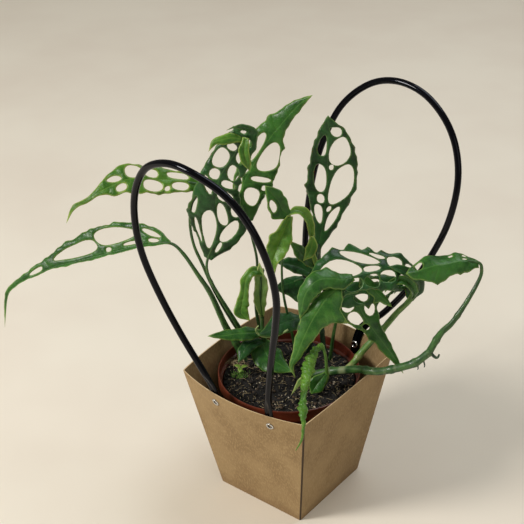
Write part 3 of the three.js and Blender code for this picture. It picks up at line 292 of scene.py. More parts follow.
            [-37, 15, 168, 6, 5], [-38, 13, 160, 6, 6], [-31, 10, 154, 0, 0],
        ],
    },
    "lowCentre": {
        "face": [[0, -0.6, 0.8], [0, -0.7, 0.7]], "fold": [-8, -8], "wave": [0.8, 4],
        "rows": [
            [11, 22, 148, 3, 3], [4, 19, 148, 9, 8], [-6, 14, 147, 8, 11], [-16, 8, 145, 5, 5],
            [-25, 3, 144, 0, 0],
        ],
    },
    "lowLeft": {
        "face": [[0, -0.6, 0.8], [0, -0.6, 0.8]], "fold": [-8, -8], "wave": [0.5, 3],
        "rows": [
            [-21, 22, 134, 3, 3], [-32, 18, 137, 6, 6], [-42, 17, 137, 6, 5], [-55, 16, 136, 3, 5],
            [-67, 16, 136, 0, 0],
        ],
    },
    "lowFront": {
        "face": [[0, -0.5, 0.87], [0, -0.5, 0.87]], "fold": [-6, -6], "wave": [0.8, 4],
        "rows": [
            [-20, 24, 126, 4, 3], [-20, 19, 119, 10, 12], [-16, 13, 115, 13, 12],
            [-8, 6, 113, 7, 9], [3, -2, 110, 0, 0],
        ],
    },
    "spur": {
        "face": [VIEWER, VIEWER], "fold": [0, 0], "wave": [0, 1],
        "rows": [[14, -57, 149, 2, 2], [7, -50, 134, 2, 2], [0, -47, 119, 0, 0]],
    },
    "youngDark": {
        "face": [VIEWER, VIEWER], "fold": [12, 12], "wave": [0.5, 3],
        "rows": [
            [30, -20, 121, 2, 2], [24, -24, 116, 6, 6], [20, -26, 111, 6, 6], [17, -28, 106, 0, 0],
        ],
    },
    "archFront": {
        "face": [[0.1, -0.75, 0.65], [-0.1, -0.95, 0.3]], "fold": [-6, -20], "wave": [1.0, 4],
        "rows": [
            [40, -25, 208, 2, 2], [36, -29, 205, 7, 4], [30, -32, 201, 14, 6],
            [24, -36, 194, 17, 8], [17, -39, 183, 11, 9], [10, -42, 168, 6, 7], [5, -44, 155, 4, 4],
            [1, -45, 146, 2, 2], [4, -46, 135, 0, 0],
        ],
        "bumps": [[0.36, 1, 8, 0.09], [0.14, 1, 2, 0.05], [0.6, 1, 1.5, 0.06], [0.45, -1, 2, 0.06]],
    },
    "archTail": {
        "face": [[0, -0.6, 0.8], [-0.5, -0.8, 0.3]], "fold": [-16, -16], "wave": [0.8, 4],
        "rows": [
            [51, -20, 211, 3, 3], [42, -25, 212, 7, 7], [33, -28, 215, 8, 8], [24, -31, 216, 8, 9],
            [17, -33, 212, 8, 8], [12, -34, 203, 7, 7], [10, -35, 194, 5, 5], [8, -36, 184, 0, 0],
        ],
        "bumps": [[0.3, -1, 2, 0.06], [0.55, 1, 2, 0.06]],
    },
    "archInner": {
        "face": [[0, -0.6, 0.8], [0, -0.8, 0.6]], "fold": [-14, 10], "wave": [1.6, 5],
        "rows": [
            [92, 2, 188, 3, 3], [83, 0, 192, 8, 7], [70, -2, 190, 11, 9], [57, -4, 187, 11, 9],
            [44, -8, 184, 8, 7], [34, -12, 179, 0, 0],
        ],
        "lace": 1.3,
        "bumps": [[0.3, 1, 4, 0.06], [0.55, 1, 4, 0.05], [0.45, -1, 4, 0.06], [0.75, -1, 3, 0.05]],
        "holes": [
            [0.3, 0.47, 0.08, 0.27, 0.03], [0.6, 0.44, 0.07, 0.25, -0.03],
            [0.46, -0.47, 0.09, 0.27, 0.02],
        ],
    },
    "swirlOuter": {
        "face": [[0.8, -0.6, 0], [-0.2, -0.5, 0.8]], "fold": [20, 20], "wave": [0.6, 4],
        "rows": [
            [99, 2, 175, 2, 2], [104, 1, 182, 4, 5], [105, 0, 192, 4, 5], [98, -3, 202, 5, 4],
            [88, -7, 209, 4, 4], [78, -10, 214, 0, 0],
        ],
    },
    "swirlInner": {
        "face": [[0.4, -0.8, 0.3], [-0.3, -0.7, 0.6]], "fold": [35, 35], "wave": [0.5, 4],
        "rows": [
            [99, 1, 176, 1.5, 1.5], [100, -4, 187, 4, 4], [96, -7, 196, 5, 4], [88, -9, 201, 5, 4],
            [80, -11, 198, 3, 3], [76, -12, 191, 0, 0],
        ],
    },
    "centrePale": {
        "face": [VIEWER, VIEWER], "fold": [15, 15], "wave": [0.6, 3],
        "rows": [
            [20, 15, 229, 1.5, 1.5], [20, 13, 222, 5, 4], [18, 12, 216, 5, 4], [13, 12, 208, 0, 0],
        ],
    },
    "archLobe": {
        "face": [[0, -0.6, 0.8], [0.3, -0.8, 0.5]], "fold": [-12, -12], "wave": [0.8, 4],
        "rows": [
            [56, -17, 211, 2, 2], [60, -14, 204, 5, 5], [66, -14, 197, 5, 5], [72, -15, 190, 4, 4],
            [77, -15, 185, 3, 3], [82, -16, 180, 0, 0],
        ],
        "bumps": [[0.45, 1, 5, 0.09], [0.62, -1, 4, 0.08], [0.2, -1, 2, 0.06]],
    },
    "lowBack": {
        "face": [[0, -0.5, 0.87], [0, -0.5, 0.87]], "fold": [-10, -10], "wave": [0.9, 4],
        "rows": [
            [-19, 24, 124, 2, 2], [-26, 20, 127, 5, 6], [-33, 16, 126, 6, 7], [-38, 11, 122, 5, 5],
            [-42, 5, 116, 0, 0],
        ],
    },
}

# Stems: points from the foot up, and the radius at both ends
STEMS = {
    "farLeftLow": {
        "points": [
            [-36, 28, 96], [-38, 29, 104], [-44, 32, 118], [-52, 33, 134], [-63, 33, 166],
            [-73, 34, 185], [-84, 36, 204], [-94, 38, 213], [-110, 41, 211],
        ],
        "radii": [3.6, 1],
    },
    "farLeftHigh": {
        "points": [
            [-27, 44, 96], [-30, 43, 104], [-46, 40, 134], [-60, 36, 168], [-69, 36, 194],
            [-75, 35, 213], [-77, 35, 233], [-74, 33, 252], [-65, 29, 268], [-76, 26, 274],
        ],
        "radii": [2, 0.9],
    },
    "left": {
        "points": [
            [-27, 36, 96], [-30, 36, 104], [-38, 34, 126], [-52, 30, 158], [-61, 29, 178],
            [-65, 30, 191], [-64, 30, 202], [-58, 27, 218],
        ],
        "radii": [2.4, 0.9],
    },
    "top": {
        "points": [
            [-17, 46, 96], [-19, 46, 104], [-25, 45, 133], [-26, 45, 158], [-24, 46, 189],
            [-28, 46, 214], [-31, 45, 230], [-34, 44, 243],
        ],
        "radii": [1.7, 0.9],
    },
    "rightUpright": {
        "points": [
            [31, 36, 96], [31, 37, 104], [29, 43, 131], [27, 46, 160], [27, 45, 188], [27, 45, 205],
        ],
        "radii": [2.4, 1],
    },
    "creeping": {
        "points": [
            [16, 7, 97], [23, 3, 104], [34, -2, 110], [44, -8, 115], [51, -13, 119], [58, -19, 123],
            [66, -26, 126], [75, -29, 128], [91, -32, 134], [101, -33, 139], [111, -34, 149],
        ],
        "radii": [3.2, 3.2],
    },
    "farRight": {
        "points": [
            [109, -34, 146], [120, -23, 158], [129, -20, 166], [138, -17, 179], [146, -13, 192],
            [151, -10, 202], [152, -8, 208], [150, -7, 213], [140, -8, 216],
        ],
        "radii": [3, 1],
    },
    "rightArching": {
        "points": [
            [46, -10, 116], [53, -4, 119], [60, 0, 127], [69, 1, 138], [78, 2, 149], [88, 2, 163],
            [98, 2, 175], [102, 1, 188],
        ],
        "radii": [2.9, 2.2],
    },
    "rightPendant": {
        "points": [
            [36, 27, 96], [36, 26, 104], [37, 16, 127], [39, 8, 150], [43, 1, 174], [49, -4, 188],
            [55, -6, 179],
        ],
        "radii": [1.8, 0.9],
    },
    "centre": {
        "points": [
            [17, 39, 96], [18, 38, 104], [21, 33, 129], [23, 27, 162], [24, 22, 184], [24, 20, 200],
        ],
        "radii": [2.4, 1.4],
    },
    "centreThin": {
        "points": [
            [6, 32, 100], [6, 31, 112], [2, 26, 140], [-3, 20, 172], [-4, 14, 205], [0, 10, 232],
            [2, 9, 250],
        ],
        "radii": [1.3, 0.8],
    },
    "centreArched": {
        "points": [[23, 26, 166], [20, 28, 175], [14, 28, 182], [6, 26, 181]],
        "radii": [1.2, 0.8],
    },
    "centreCrown": {
        "points": [[13, 13, 250], [7, 12, 253], [2, 10, 251], [-1, 8, 246], [-4, 5, 238]],
        "radii": [1.4, 0.8],
    },
    "leftShoot": {
        "points": [
            [-12, 30, 96], [-14, 29, 104], [-18, 25, 120], [-21, 24, 134], [-21, 24, 150],
            [-22, 21, 172], [-21, 21, 186], [-19, 22, 195],
        ],
        "radii": [2.2, 1.2],
    },
    "lowCentre": {
        "points": [[6, 40, 96], [7, 40, 104], [11, 34, 122], [12, 24, 145], [4, 19, 148]],
        "radii": [1.6, 0.8],
    },
    "unfurling": {
        "points": [
            [15, -20, 96], [18, -20, 103], [25, -19, 105], [30, -19, 113], [30, -20, 126],
            [29, -21, 139], [26, -24, 150], [20, -33, 153],
        ],
        "radii": [1.8, 1],
    },
}

# The furled leaf, from its knot over the front corner to the hanging tail, with a radius at each point
FURLED = [
    [27, -24, 149, 1.4], [25, -27, 152, 2.4], [21, -32, 152.5, 2.5], [18, -38, 151.5, 3.4],
    [15, -45, 149.5, 4.2], [13, -53, 147, 4.3], [12, -61, 145.5, 3.5], [10, -69, 143.5, 2.8],
    [9, -77, 141, 2.2], [8, -84, 138.5, 2.6], [8, -89, 136, 3.6], [8, -93, 132.5, 2.2],
    [8, -97, 126, 1.3], [6.5, -98, 115, 0.9], [2, -98, 105, 0.3],
]

# The pale curled margin below the centre, and the short root nubs of the creeping stem
CURLED_MARGIN = [
    [0, 12, 143], [-8, 8, 140.5], [-16, 6, 140], [-22, 5, 142], [-26, 4, 147], [-26, 3, 151],
    [-24, 4, 153],
]
ROOT_NUBS = [
    [[101, -33.5, 138], [102, -34.5, 134], [101.5, -35, 132.5]],
    [[106, -34, 141], [107, -35, 136.5], [106.5, -35.5, 135]],
    [[111, -34, 148], [115, -35, 144], [117, -35.5, 144.5], [118, -35.5, 147]],
]


# Numbers and curves

FINE_PLACES = 1200
GROUND_WAVES = 10


def round_angles(count):
    """Angles spaced evenly around a circle."""
    return np.arange(count) * math.tau / count


def hump(value, middle, half):
    """A soft hump of height 1 that fades within about the given half width."""
    return np.exp(-(((value - middle) / half) ** 2))


def squarer(value):
    """A sine or cosine drawn towards its ends, which makes an oval fuller."""
    return np.sign(value) * np.abs(value) ** 0.88


def unit(vectors):
    """Vectors of length 1."""
    lengths = np.linalg.norm(vectors, axis=-1, keepdims=True)
    return vectors / np.maximum(lengths, 1e-9)


def turned(points, angle):
    """Points turned about the vertical axis."""
    points = np.asarray(points, float)
    x = points[:, 0] * math.cos(angle) - points[:, 1] * math.sin(angle)
    y = points[:, 0] * math.sin(angle) + points[:, 1] * math.cos(angle)
    return np.stack([x, y, points[:, 2]], 1)


def spline(points, places):
    """A smooth curve through the points, at places from 0 to 1."""
    points = np.asarray(points, float)
    first = 2 * points[:1] - points[1:2]
    last = 2 * points[-1:] - points[-2:-1]
    held = np.concatenate([first, points, last])
    t = np.clip(places, 0, 1) * (len(points) - 1)
    low = np.minimum(t.astype(int), len(points) - 2)
    t = (t - low)[:, None]
    a, b, c, d = (held[low + i] for i in range(4))
    return b + 0.5 * t * (c - a + t * (2 * a - 5 * b + 4 * c - d + t * (3 * (b - c) + d - a)))


def even_places(points, step):
    """Places along the curve through the points, about one step of length apart."""
    fine = np.linspace(0, 1, FINE_PLACES)
    curve = spline(points, fine)
    lengths = np.concatenate([[0], np.cumsum(np.linalg.norm(np.diff(curve, axis=0), axis=1))])
    count = max(4, int(lengths[-1] / step))
    return np.interp(np.linspace(0, lengths[-1], count + 1), lengths, fine), lengths[-1]


def smooth(value, low, high):
    """A soft step from 0 at low to 1 at high."""
    share = np.clip((value - low) / (high - low), 0, 1)
    return share * share * (3 - 2 * share)


def waves(place, longest, shortest, count=5):
    """A seeded uneven wave of height about 1 along a length."""
    total = np.zeros_like(place, dtype=float)
    for length in np.geomspace(longest, shortest, count):
        total += np.sin(math.tau * place / length + rng.uniform(0, math.tau))
    return total / math.sqrt(count)


def ground(x, y, size):
    """A seeded uneven surface of height about 1, with bumps of about the given size."""
    total = np.zeros_like(x, dtype=float)
    for turn in rng.uniform(0, math.tau, GROUND_WAVES):
        length = size * rng.uniform(0.7, 1.6)
        along = x * math.cos(turn) + y * math.sin(turn)
        total += np.sin(math.tau * along / length + rng.uniform(0, math.tau))
    return total / math.sqrt(GROUND_WAVES)


# Meshes


def add_object(name, data):
    """A new object in the scene."""
    thing = bpy.data.objects.new(name, data)
    bpy.context.scene.collection.objects.link(thing)
    return thing


def make_piece(name, points, faces, slot, materials, nodes, values=None, kinds=None, crease=None):
    """Makes a smooth piece from points in millimetres, which stands for the given nodes."""
    mesh = bpy.data.meshes.new(name)
    mesh.from_pydata((np.asarray(points) * MM).tolist(), [], faces)
    for label, numbers in (values or {}).items():
        field = mesh.attributes.new(label, "FLOAT", "POINT")
        field.data.foreach_set("value", np.asarray(numbers, np.float32))
    for material in materials:
        mesh.materials.append(material)
    mesh.polygons.foreach_set("use_smooth", [True] * len(mesh.polygons))
    if kinds is not None:
        mesh.polygons.foreach_set("material_index", kinds)
    if crease:
        mesh.set_sharp_from_angle(angle=math.radians(crease))
    mesh.update()
    piece = add_object(name, mesh)
    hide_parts(*nodes)
    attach(piece, "root")


def ring_faces(rings, sides, closed=True):
    """Quads between rings of points that turn leftwards around the way from ring to ring."""
    row = np.arange(rings - 1)[:, None] * sides
    k = np.arange(sides)[None, :]
    n = (k + 1) % sides
    quads = np.stack([row + k, row + n, row + sides + n, row + sides + k], -1).reshape(-1, 4).tolist()
    if closed:
        quads.append(list(range(sides))[::-1])
        quads.append(list(range((rings - 1) * sides, rings * sides)))
    return quads


def lathe(profile, sides):
    """Points and faces of a [radius, height] profile turned about the vertical axis."""
    profile = np.asarray(profile, float)
    angle = round_angles(sides)
    x = profile[:, :1] * np.cos(angle)
    y = profile[:, :1] * np.sin(angle)
    z = np.repeat(profile[:, 1:], sides, axis=1)
    points = np.stack([x, y, z], -1).reshape(-1, 3)
    return points, ring_faces(len(profile), sides, closed=False)


def frames_along(points):
    """Unit vectors along a curve and two across it that don't twist."""
    along = unit(np.gradient(points, axis=0))
    across = np.zeros_like(along)
    across[0] = np.cross(along[0], np.eye(3)[np.abs(along[0]).argmin()])
    for i in range(1, len(points)):
        across[i] = across[i - 1] - along[i] * (across[i - 1] @ along[i])
        across[i] /= np.linalg.norm(across[i])
    across[0] /= np.linalg.norm(across[0])
    return along, across, np.cross(along, across)


def tube(points, radii, sides):
    """Points and faces of a tube; radii are one a point, or one a point and side."""
    radii = np.asarray(radii, float)
    if radii.ndim == 1:
        radii = radii[:, None] * np.ones(sides)
    _, across, third = frames_along(points)
    angle = round_angles(sides)[None, :, None]
    out = across[:, None] * np.cos(angle) + third[:, None] * np.sin(angle)
    rings = points[:, None] + out * radii[..., None]
    return rings.reshape(-1, 3), ring_faces(len(points), sides)


def joined(parts):
    """One list of points and one of faces from several."""
    points = []
    faces = []
    start = 0
    for some_points, some_faces in parts:
        points.append(some_points)
        faces += [[corner + start for corner in face] for face in some_faces]
        start += len(some_points)
    return np.concatenate(points), faces


def inside(points, loops):
    """True for each flat point that an odd number of the loops hold."""
    odd = np.zeros(len(points), bool)
    for loop in loops:
        for start, end in zip(loop, np.roll(loop, -1, axis=0)):
            if start[1] == end[1]:
                continue
            level = (start[1] > points[:, 1]) != (end[1] > points[:, 1])
            reach = (end[0] - start[0]) * (points[:, 1] - start[1]) / (end[1] - start[1]) + start[0]
            odd ^= level & (points[:, 0] < reach)
    return odd


def edge_distance(points, loops):
    """How far each flat point lies from the nearest loop."""
    nearest = np.full(len(points), 1e9)
    for loop in loops:
        for start, end in zip(loop, np.roll(loop, -1, axis=0)):
            line = end - start
            length = max(line @ line, 1e-12)
            share = np.clip((points - start) @ line / length, 0, 1)
            apart = np.linalg.norm(points - start - share[:, None] * line, axis=1)
            nearest = np.minimum(nearest, apart)
    return nearest


def triangulated(loops, inner):
    """Flat points and leftward triangles that fill the first loop but not the others."""
    edges = []
    start = 0
    for loop in loops:
        count = len(loop)
        edges += [(start + i, start + (i + 1) % count) for i in range(count)]
        start += count
    corners = [Vector(point) for point in np.concatenate([*loops, inner])]
    result = delaunay_2d_cdt(corners, edges, [], 0, 1e-5)
    flat = np.array([tuple(point) for point in result[0]])
    triangles = np.array([face for face in result[2] if len(face) == 3])
    triangles = triangles[inside(flat[triangles].mean(1), loops)]
    a, b, c = (flat[triangles[:, i]] for i in range(3))
    area = (b[:, 0] - a[:, 0]) * (c[:, 1] - a[:, 1]) - (b[:, 1] - a[:, 1]) * (c[:, 0] - a[:, 0])
    triangles[area < 0] = triangles[area < 0][:, ::-1]
    return flat, triangles[np.abs(area) > 1e-7]


# Colours and shader nodes


def tint(red, green, blue):
    """A linear colour from display values of 0 to 255."""
    shares = [value / 255 for value in (red, green, blue)]
    linear = [s / 12.92 if s < 0.04045 else ((s + 0.055) / 1.055) ** 2.4 for s in shares]
    return (*linear, 1)


def put(tree, kind, inputs=None, **settings):
    """Adds a node, sets it and fills its inputs with values or links."""
    node = tree.nodes.new("ShaderNode" + kind)
    for name, value in settings.items():
        setattr(node, name, value)
    for key, value in (inputs or {}).items():
        if isinstance(value, bpy.types.NodeSocket):
            tree.links.new(value, node.inputs[key])
        else:
            node.inputs[key].default_value = value
    return node


def calc(tree, operation, *values):
    """The output of a math node."""
    return put(tree, "Math", dict(enumerate(values)), operation=operation).outputs[0]


def plus(tree, first, second):
    """The sum of two values."""
    return calc(tree, "ADD", first, second)


def minus(tree, first, second):
    """The difference of two values."""
    return calc(tree, "SUBTRACT", first, second)


def times(tree, first, second):
    """The product of two values."""
    return calc(tree, "MULTIPLY", first, second)


def step(tree, value, low, high, start=0.0, end=1.0):
    """A soft step of a value, from start at low to end at high."""
    inputs = {0: value, 1: low, 2: high, 3: start, 4: end}
    return put(tree, "MapRange", inputs, interpolation_type="SMOOTHSTEP").outputs[0]


def mix(tree, share, first, second):
    """A mix of two colours."""
    return put(tree, "Mix", {0: share, 6: first, 7: second}, data_type="RGBA").outputs[2]


def noise(tree, place, scale, detail=3.0, rough=0.55):
    """The value of a noise texture."""
    inputs = {"Vector": place, "Scale": scale, "Detail": detail, "Roughness": rough}
    return put(tree, "TexNoise", inputs).outputs[0]


def value_of(tree, label):
    """The value that the mesh keeps under a name."""
    return put(tree, "Attribute", attribute_name=label).outputs["Fac"]


def place_of(tree, stretch=(1, 1, 1)):
    """Object coordinates in millimetres, stretched along each axis."""
    scale = tuple(part / MM for part in stretch)
    coordinates = put(tree, "TexCoord").outputs["Object"]
    return put(tree, "Mapping", {"Vector": coordinates, "Scale": scale}).outputs[0]


def new_group(name, inputs, outputs):
    """A shader node group with named sockets; returns it with its start's and end's sockets."""
    group = bpy.data.node_groups.new(name, "ShaderNodeTree")
    for label, kind in inputs.items():
        group.interface.new_socket(label, in_out="INPUT", socket_type="NodeSocket" + kind)
    for label, kind in outputs.items():
        group.interface.new_socket(label, in_out="OUTPUT", socket_type="NodeSocket" + kind)
    start = group.nodes.new("NodeGroupInput")
    end = group.nodes.new("NodeGroupOutput")
    return group, start.outputs, end.inputs


def new_material(name):
    """A material with a Principled shader; returns it with its tree and shader."""
    material = bpy.data.materials.new(name)
    material.use_nodes = True
    return material, material.node_tree, material.node_tree.nodes["Principled BSDF"]


def set_shader(shader, **values):
    """Sets plain values on a shader's own sockets, with spaces as underscores."""
    for label, value in values.items():
        shader.inputs[label.replace("_", " ")].default_value = value


def lead(tree, shader, colour, rough, height, distance):
    """Leads a colour, a roughness and a relief into a shader; the relief's distance is in mm."""
    relief = put(tree, "Bump", {"Height": height, "Distance": distance * MM, "Strength": 1.0})
    tree.links.new(colour, shader.inputs["Base Color"])
    tree.links.new(rough, shader.inputs["Roughness"])
    tree.links.new(relief.outputs[0], shader.inputs["Normal"])


# Leaf finish: midrib, side veins, a fine net, a pale rim and a paler underside

# Side veins: spacing, lean and bend towards the tip, stagger between the sides, and strength
VEIN_SPACING = 8.5
VEIN_LEAN = 0.52
VEIN_BEND = 0.014
VEIN_STAGGER = 0.43
VEIN_SHARE = 0.3


def leaf_surface_group():
    """Colour and relief of a blade, from the values that its mesh keeps."""
    inputs = {
        "Deep": "Color", "Light": "Color", "Rim": "Color", "Under": "Color", "Vein": "Color",
        "Rim Width": "Float",
    }
    outputs = {"Color": "Color", "Height": "Float", "Dullness": "Float"}
    group, given, result = new_group("leaf_surface", inputs, outputs)
    arc = value_of(group, "arc")
    out = value_of(group, "out")
    side = value_of(group, "side")
    place = put(group, "CombineXYZ", {0: arc, 1: out, 2: value_of(group, "seed")}).outputs[0]
    apart = calc(group, "ABSOLUTE", out)

    patch = step(group, noise(group, place, 0.07, 4.0), 0.38, 0.62)
    streak = step(group, noise(group, place, 0.22), 0.4, 0.7)
    body = mix(group, times(group, patch, 0.75), given["Deep"], given["Light"])
    body = mix(group, times(group, streak, 0.3), body, given["Light"])

    bend = times(group, times(group, apart, apart), VEIN_BEND)
    lean = plus(group, times(group, apart, VEIN_LEAN), bend)
    stagger = times(group, calc(group, "GREATER_THAN", out, 0.0), VEIN_STAGGER)
    sway = times(group, noise(group, place, 0.09), 3.0)
    along = plus(group, minus(group, arc, lean), sway)
    turn = plus(group, calc(group, "DIVIDE", along, VEIN_SPACING), stagger)
    away = calc(group, "ABSOLUTE", minus(group, calc(group, "FRACT", turn), 0.5))
    away = times(group, away, VEIN_SPACING)
    broken = step(group, noise(group, place, 0.14, 2.0), 0.4, 0.62)
    side_vein = times(group, step(group, away, 0.1, 0.6, 1.0, 0.0), broken)
    hollow = times(group, step(group, away, 0.0, 2.6, 1.0, 0.0), broken)
    midrib = step(group, apart, 0.15, 0.7, 1.0, 0.0)
    cells = put(group, "TexVoronoi", {"Vector": place, "Scale": 0.5}, feature="DISTANCE_TO_EDGE")
    net = step(group, cells.outputs["Distance"], 0.0, 0.09, 1.0, 0.0)
    lines = calc(group, "MAXIMUM", midrib, times(group, side_vein, 0.5))
    lines = calc(group, "MAXIMUM", lines, times(group, net, 0.3))
    body = mix(group, times(group, lines, VEIN_SHARE), body, given["Vein"])

    uneven = times(group, noise(group, place, 0.3), 0.9)
    rim = minus(group, value_of(group, "edge"), uneven)
    rim = minus(group, 1.0, calc(group, "DIVIDE", rim, given["Rim Width"]))
    rim = put(group, "Clamp", {0: rim}).outputs[0]
    body = mix(group, times(group, rim, 0.5), body, given["Rim"])
    tip = step(group, value_of(group, "along"), 0.93, 1.0)
    body = mix(group, times(group, tip, 0.75), body, given["Rim"])
    lower = times(group, minus(group, 1.0, side), 0.85)
    group.links.new(mix(group, lower, body, given["Under"]), result["Color"])

    grain = times(group, noise(group, place, 1.6, 2.0), 0.25)
    dip = plus(group, times(group, hollow, 0.6), times(group, net, 0.12))
    sign = minus(group, 1.0, times(group, side, 2.0))
    group.links.new(plus(group, times(group, dip, sign), grain), result["Height"])
    dull = plus(group, times(group, noise(group, place, 0.12), 0.25), times(group, lower, 0.2))
    group.links.new(dull, result["Dullness"])
    return group


LEAF_SURFACE = leaf_surface_group()

# Each finish: deep, light, vein, rim and underside colours, and the pale rim's width
LEAF_FINISHES = {
    "dark": [(12, 48, 16), (36, 88, 36), (74, 122, 62), (96, 134, 66), (62, 108, 56), 0.7],
    "mid": [(24, 70, 18), (58, 112, 38), (100, 148, 66), (126, 160, 74), (86, 132, 62), 0.7],
    "lit": [(34, 84, 26), (70, 122, 44), (116, 158, 76), (150, 178, 90), (98, 142, 66), 0.8],
    "fresh": [(48, 96, 20), (84, 132, 38), (128, 166, 70), (158, 180, 84), (112, 150, 66), 0.8],
    "bright": [(64, 112, 30), (102, 146, 48), (144, 176, 80), (176, 192, 98), (128, 160, 74), 0.9],
    "pale": [(86, 128, 58), (126, 164, 84), (156, 186, 108), (196, 206, 132), (142, 172, 100), 1.0],
}


def leaf_material(name):
    """A satin leaf."""
    *colours, rim_width = LEAF_FINISHES[name]
    labels = ("Deep", "Light", "Vein", "Rim", "Under")
    inputs = {label: tint(*colour) for label, colour in zip(labels, colours)}
    inputs["Rim Width"] = rim_width
    material, tree, shader = new_material("leaf_" + name)
    surface = put(tree, "Group", inputs, node_tree=LEAF_SURFACE).outputs
    rough = plus(tree, surface["Dullness"], 0.22)
    lead(tree, shader, surface["Color"], rough, surface["Height"], 0.35)
    set_shader(
        shader, Subsurface_Weight=0.08, Subsurface_Scale=0.0015, Specular_IOR_Level=0.3,
        Coat_Weight=0.1, Coat_Roughness=0.28,
    )
    return material


LEAF_MATERIALS = {name: leaf_material(name) for name in LEAF_FINISHES}


# Stem finish: long streaks, scuffed patches and pale scars


def stem_surface_group():
    """Colour, relief and roughness of a stem, from the values that its mesh keeps."""
    inputs = {"Base": "Color", "Light": "Color", "Mark": "Color", "Patch From": "Float"}
    outputs = {"Color": "Color", "Height": "Float", "Roughness": "Float"}
    group, given, result = new_group("stem_surface", inputs, outputs)
    parts = {0: value_of(group, "arc"), 1: value_of(group, "around"), 2: value_of(group, "seed")}
    place = put(group, "CombineXYZ", parts).outputs[0]
    long = put(group, "Mapping", {"Vector": place, "Scale": (0.12, 1.1, 1.0)}).outputs[0]
    streaks = step(group, noise(group, long, 1.0, 4.0), 0.35, 0.7)
    body = mix(group, streaks, given["Base"], given["Light"])
    full_patch = plus(group, given["Patch From"], 0.16)
    patch = step(group, noise(group, place, 0.16, 4.0), given["Patch From"], full_patch)
    body = mix(group, times(group, patch, 0.6), body, given["Mark"])
    scar = step(group, value_of(group, "scar"), 0.1, 0.9)
    body = mix(group, times(group, scar, 0.8), body, given["Mark"])
    rough = step(group, noise(group, place, 0.4), 0.3, 0.7, 0.36, 0.56)
    group.links.new(body, result["Color"])
    group.links.new(plus(group, streaks, times(group, patch, 0.8)), result["Height"])
    group.links.new(rough, result["Roughness"])
    return group


STEM_SURFACE = stem_surface_group()

# Each finish: base, light and mark colours, and the noise level that patches start from
STEM_FINISHES = {
    "green": [(34, 70, 28), (66, 108, 46), (104, 110, 66), 0.585],
    "deep": [(18, 44, 30), (42, 76, 46), (112, 122, 88), 0.54],
    "creeper": [(32, 72, 30), (68, 108, 50), (128, 140, 100), 0.54],
    "margin": [(128, 160, 92), (170, 188, 124), (186, 190, 140), 0.63],
    "fresh": [(70, 112, 42), (112, 148, 68), (148, 152, 92), 0.6],
}


def stem_material(name):
    """A smooth stem."""
    base, light, mark, patch_from = STEM_FINISHES[name]
    inputs = {"Base": tint(*base), "Light": tint(*light), "Mark": tint(*mark)}
    inputs["Patch From"] = patch_from
    material, tree, shader = new_material("stem_" + name)
    surface = put(tree, "Group", inputs, node_tree=STEM_SURFACE).outputs
    lead(tree, shader, surface["Color"], surface["Roughness"], surface["Height"], 0.15)
    set_shader(shader, Subsurface_Weight=0.08, Subsurface_Scale=0.002, Coat_Weight=0.1)
    return material


STEM_MATERIALS = {name: stem_material(name) for name in STEM_FINISHES}


# Finishes of the carrier, handles, eyelets, pot and soil


def grain_group():
    """The uneven share of dust, flecks or grain: soft noise between two levels."""
    inputs = {label: "Float" for label in ("Scale", "Detail", "Fine", "Low", "High", "Most")}
    inputs["Place"] = "Vector"
    group, given, result = new_group("grain", inputs, {"Share": "Float"})
    soft = noise(group, given["Place"], given["Scale"], given["Detail"], given["Fine"])
    share = step(group, soft, given["Low"], given["High"], 0.0, given["Most"])
    group.links.new(share, result["Share"])
    return group


GRAIN = grain_group()


def grained(tree, place, scale, detail, low, high, most=1.0, fine=0.55):
    """The share of a grain of the given scale, up to the most."""
    inputs = {"Place": place, "Scale": scale, "Detail": detail, "Fine": fine}
    inputs.update({"Low": low, "High": high, "Most": most})
    return put(tree, "Group", inputs, node_tree=GRAIN).outputs["Share"]


def kraft_material():
    """Brown fibre board: long fibres, pale and dark flecks, scuffed corners and painted crease shade.
    """
    material, tree, shader = new_material("kraft_board")
    place = place_of(tree)
    fibres = noise(tree, place_of(tree, (1, 1, 0.3)), 0.9, 5.0, 0.5)
    cloud = grained(tree, place, 0.035, 4.0, 0.32, 0.7)
    body = mix(tree, cloud, tint(136, 110, 72), tint(154, 128, 88))
    body = mix(tree, step(tree, fibres, 0.42, 0.7, 0.0, 0.5), body, tint(180, 154, 112))
    flecks = grained(tree, place, 2.4, 2.0, 0.62, 0.74, most=0.5)
    body = mix(tree, flecks, body, tint(106, 82, 52))
    corner = value_of(tree, "corner")
    worn = plus(tree, corner, times(tree, noise(tree, place, 0.5), 1.6))
    body = mix(tree, step(tree, worn, 0.7, 1.7, 0.5, 0.0), body, tint(104, 76, 48))
    low = step(tree, value_of(tree, "level"), 0.0, 14.0, 0.35, 0.0)
    body = mix(tree, low, body, tint(120, 90, 58))
    # Painted shade: a near-black line down the front panel's corner folds, fading out near the top.
    crease = times(tree, value_of(tree, "seam"), step(tree, corner, 0.0, 1.1, 0.9, 0.0))
    body = mix(tree, crease, body, tint(46, 32, 20))
    rough = step(tree, fibres, 0.3, 0.7, 0.72, 0.88)
    relief = plus(tree, fibres, times(tree, noise(tree, place, 3.0, 2.0), 0.6))
    lead(tree, shader, body, rough, relief, 0.12)
    return material


def pot_material():
    """Satin red-brown moulded plastic with faint scratches and dry soil dust."""
    material, tree, shader = new_material("pot_plastic")
    place = place_of(tree)
    cloud = grained(tree, place, 0.05, 4.0, 0.3, 0.7)
    body = mix(tree, cloud, tint(84, 32, 18), tint(108, 45, 25))
    dust = grained(tree, place, 0.45, 6.0, 0.52, 0.72, most=0.45, fine=0.7)
    body = mix(tree, dust, body, tint(120, 78, 52))
    scratches = noise(tree, place_of(tree, (1, 1, 9)), 0.4)
    rough = step(tree, dust, 0.0, 0.45, 0.34, 0.62)
    lead(tree, shader, body, rough, plus(tree, scratches, dust), 0.06)
    set_shader(shader, Coat_Weight=0.1, Coat_Roughness=0.25)
    return material


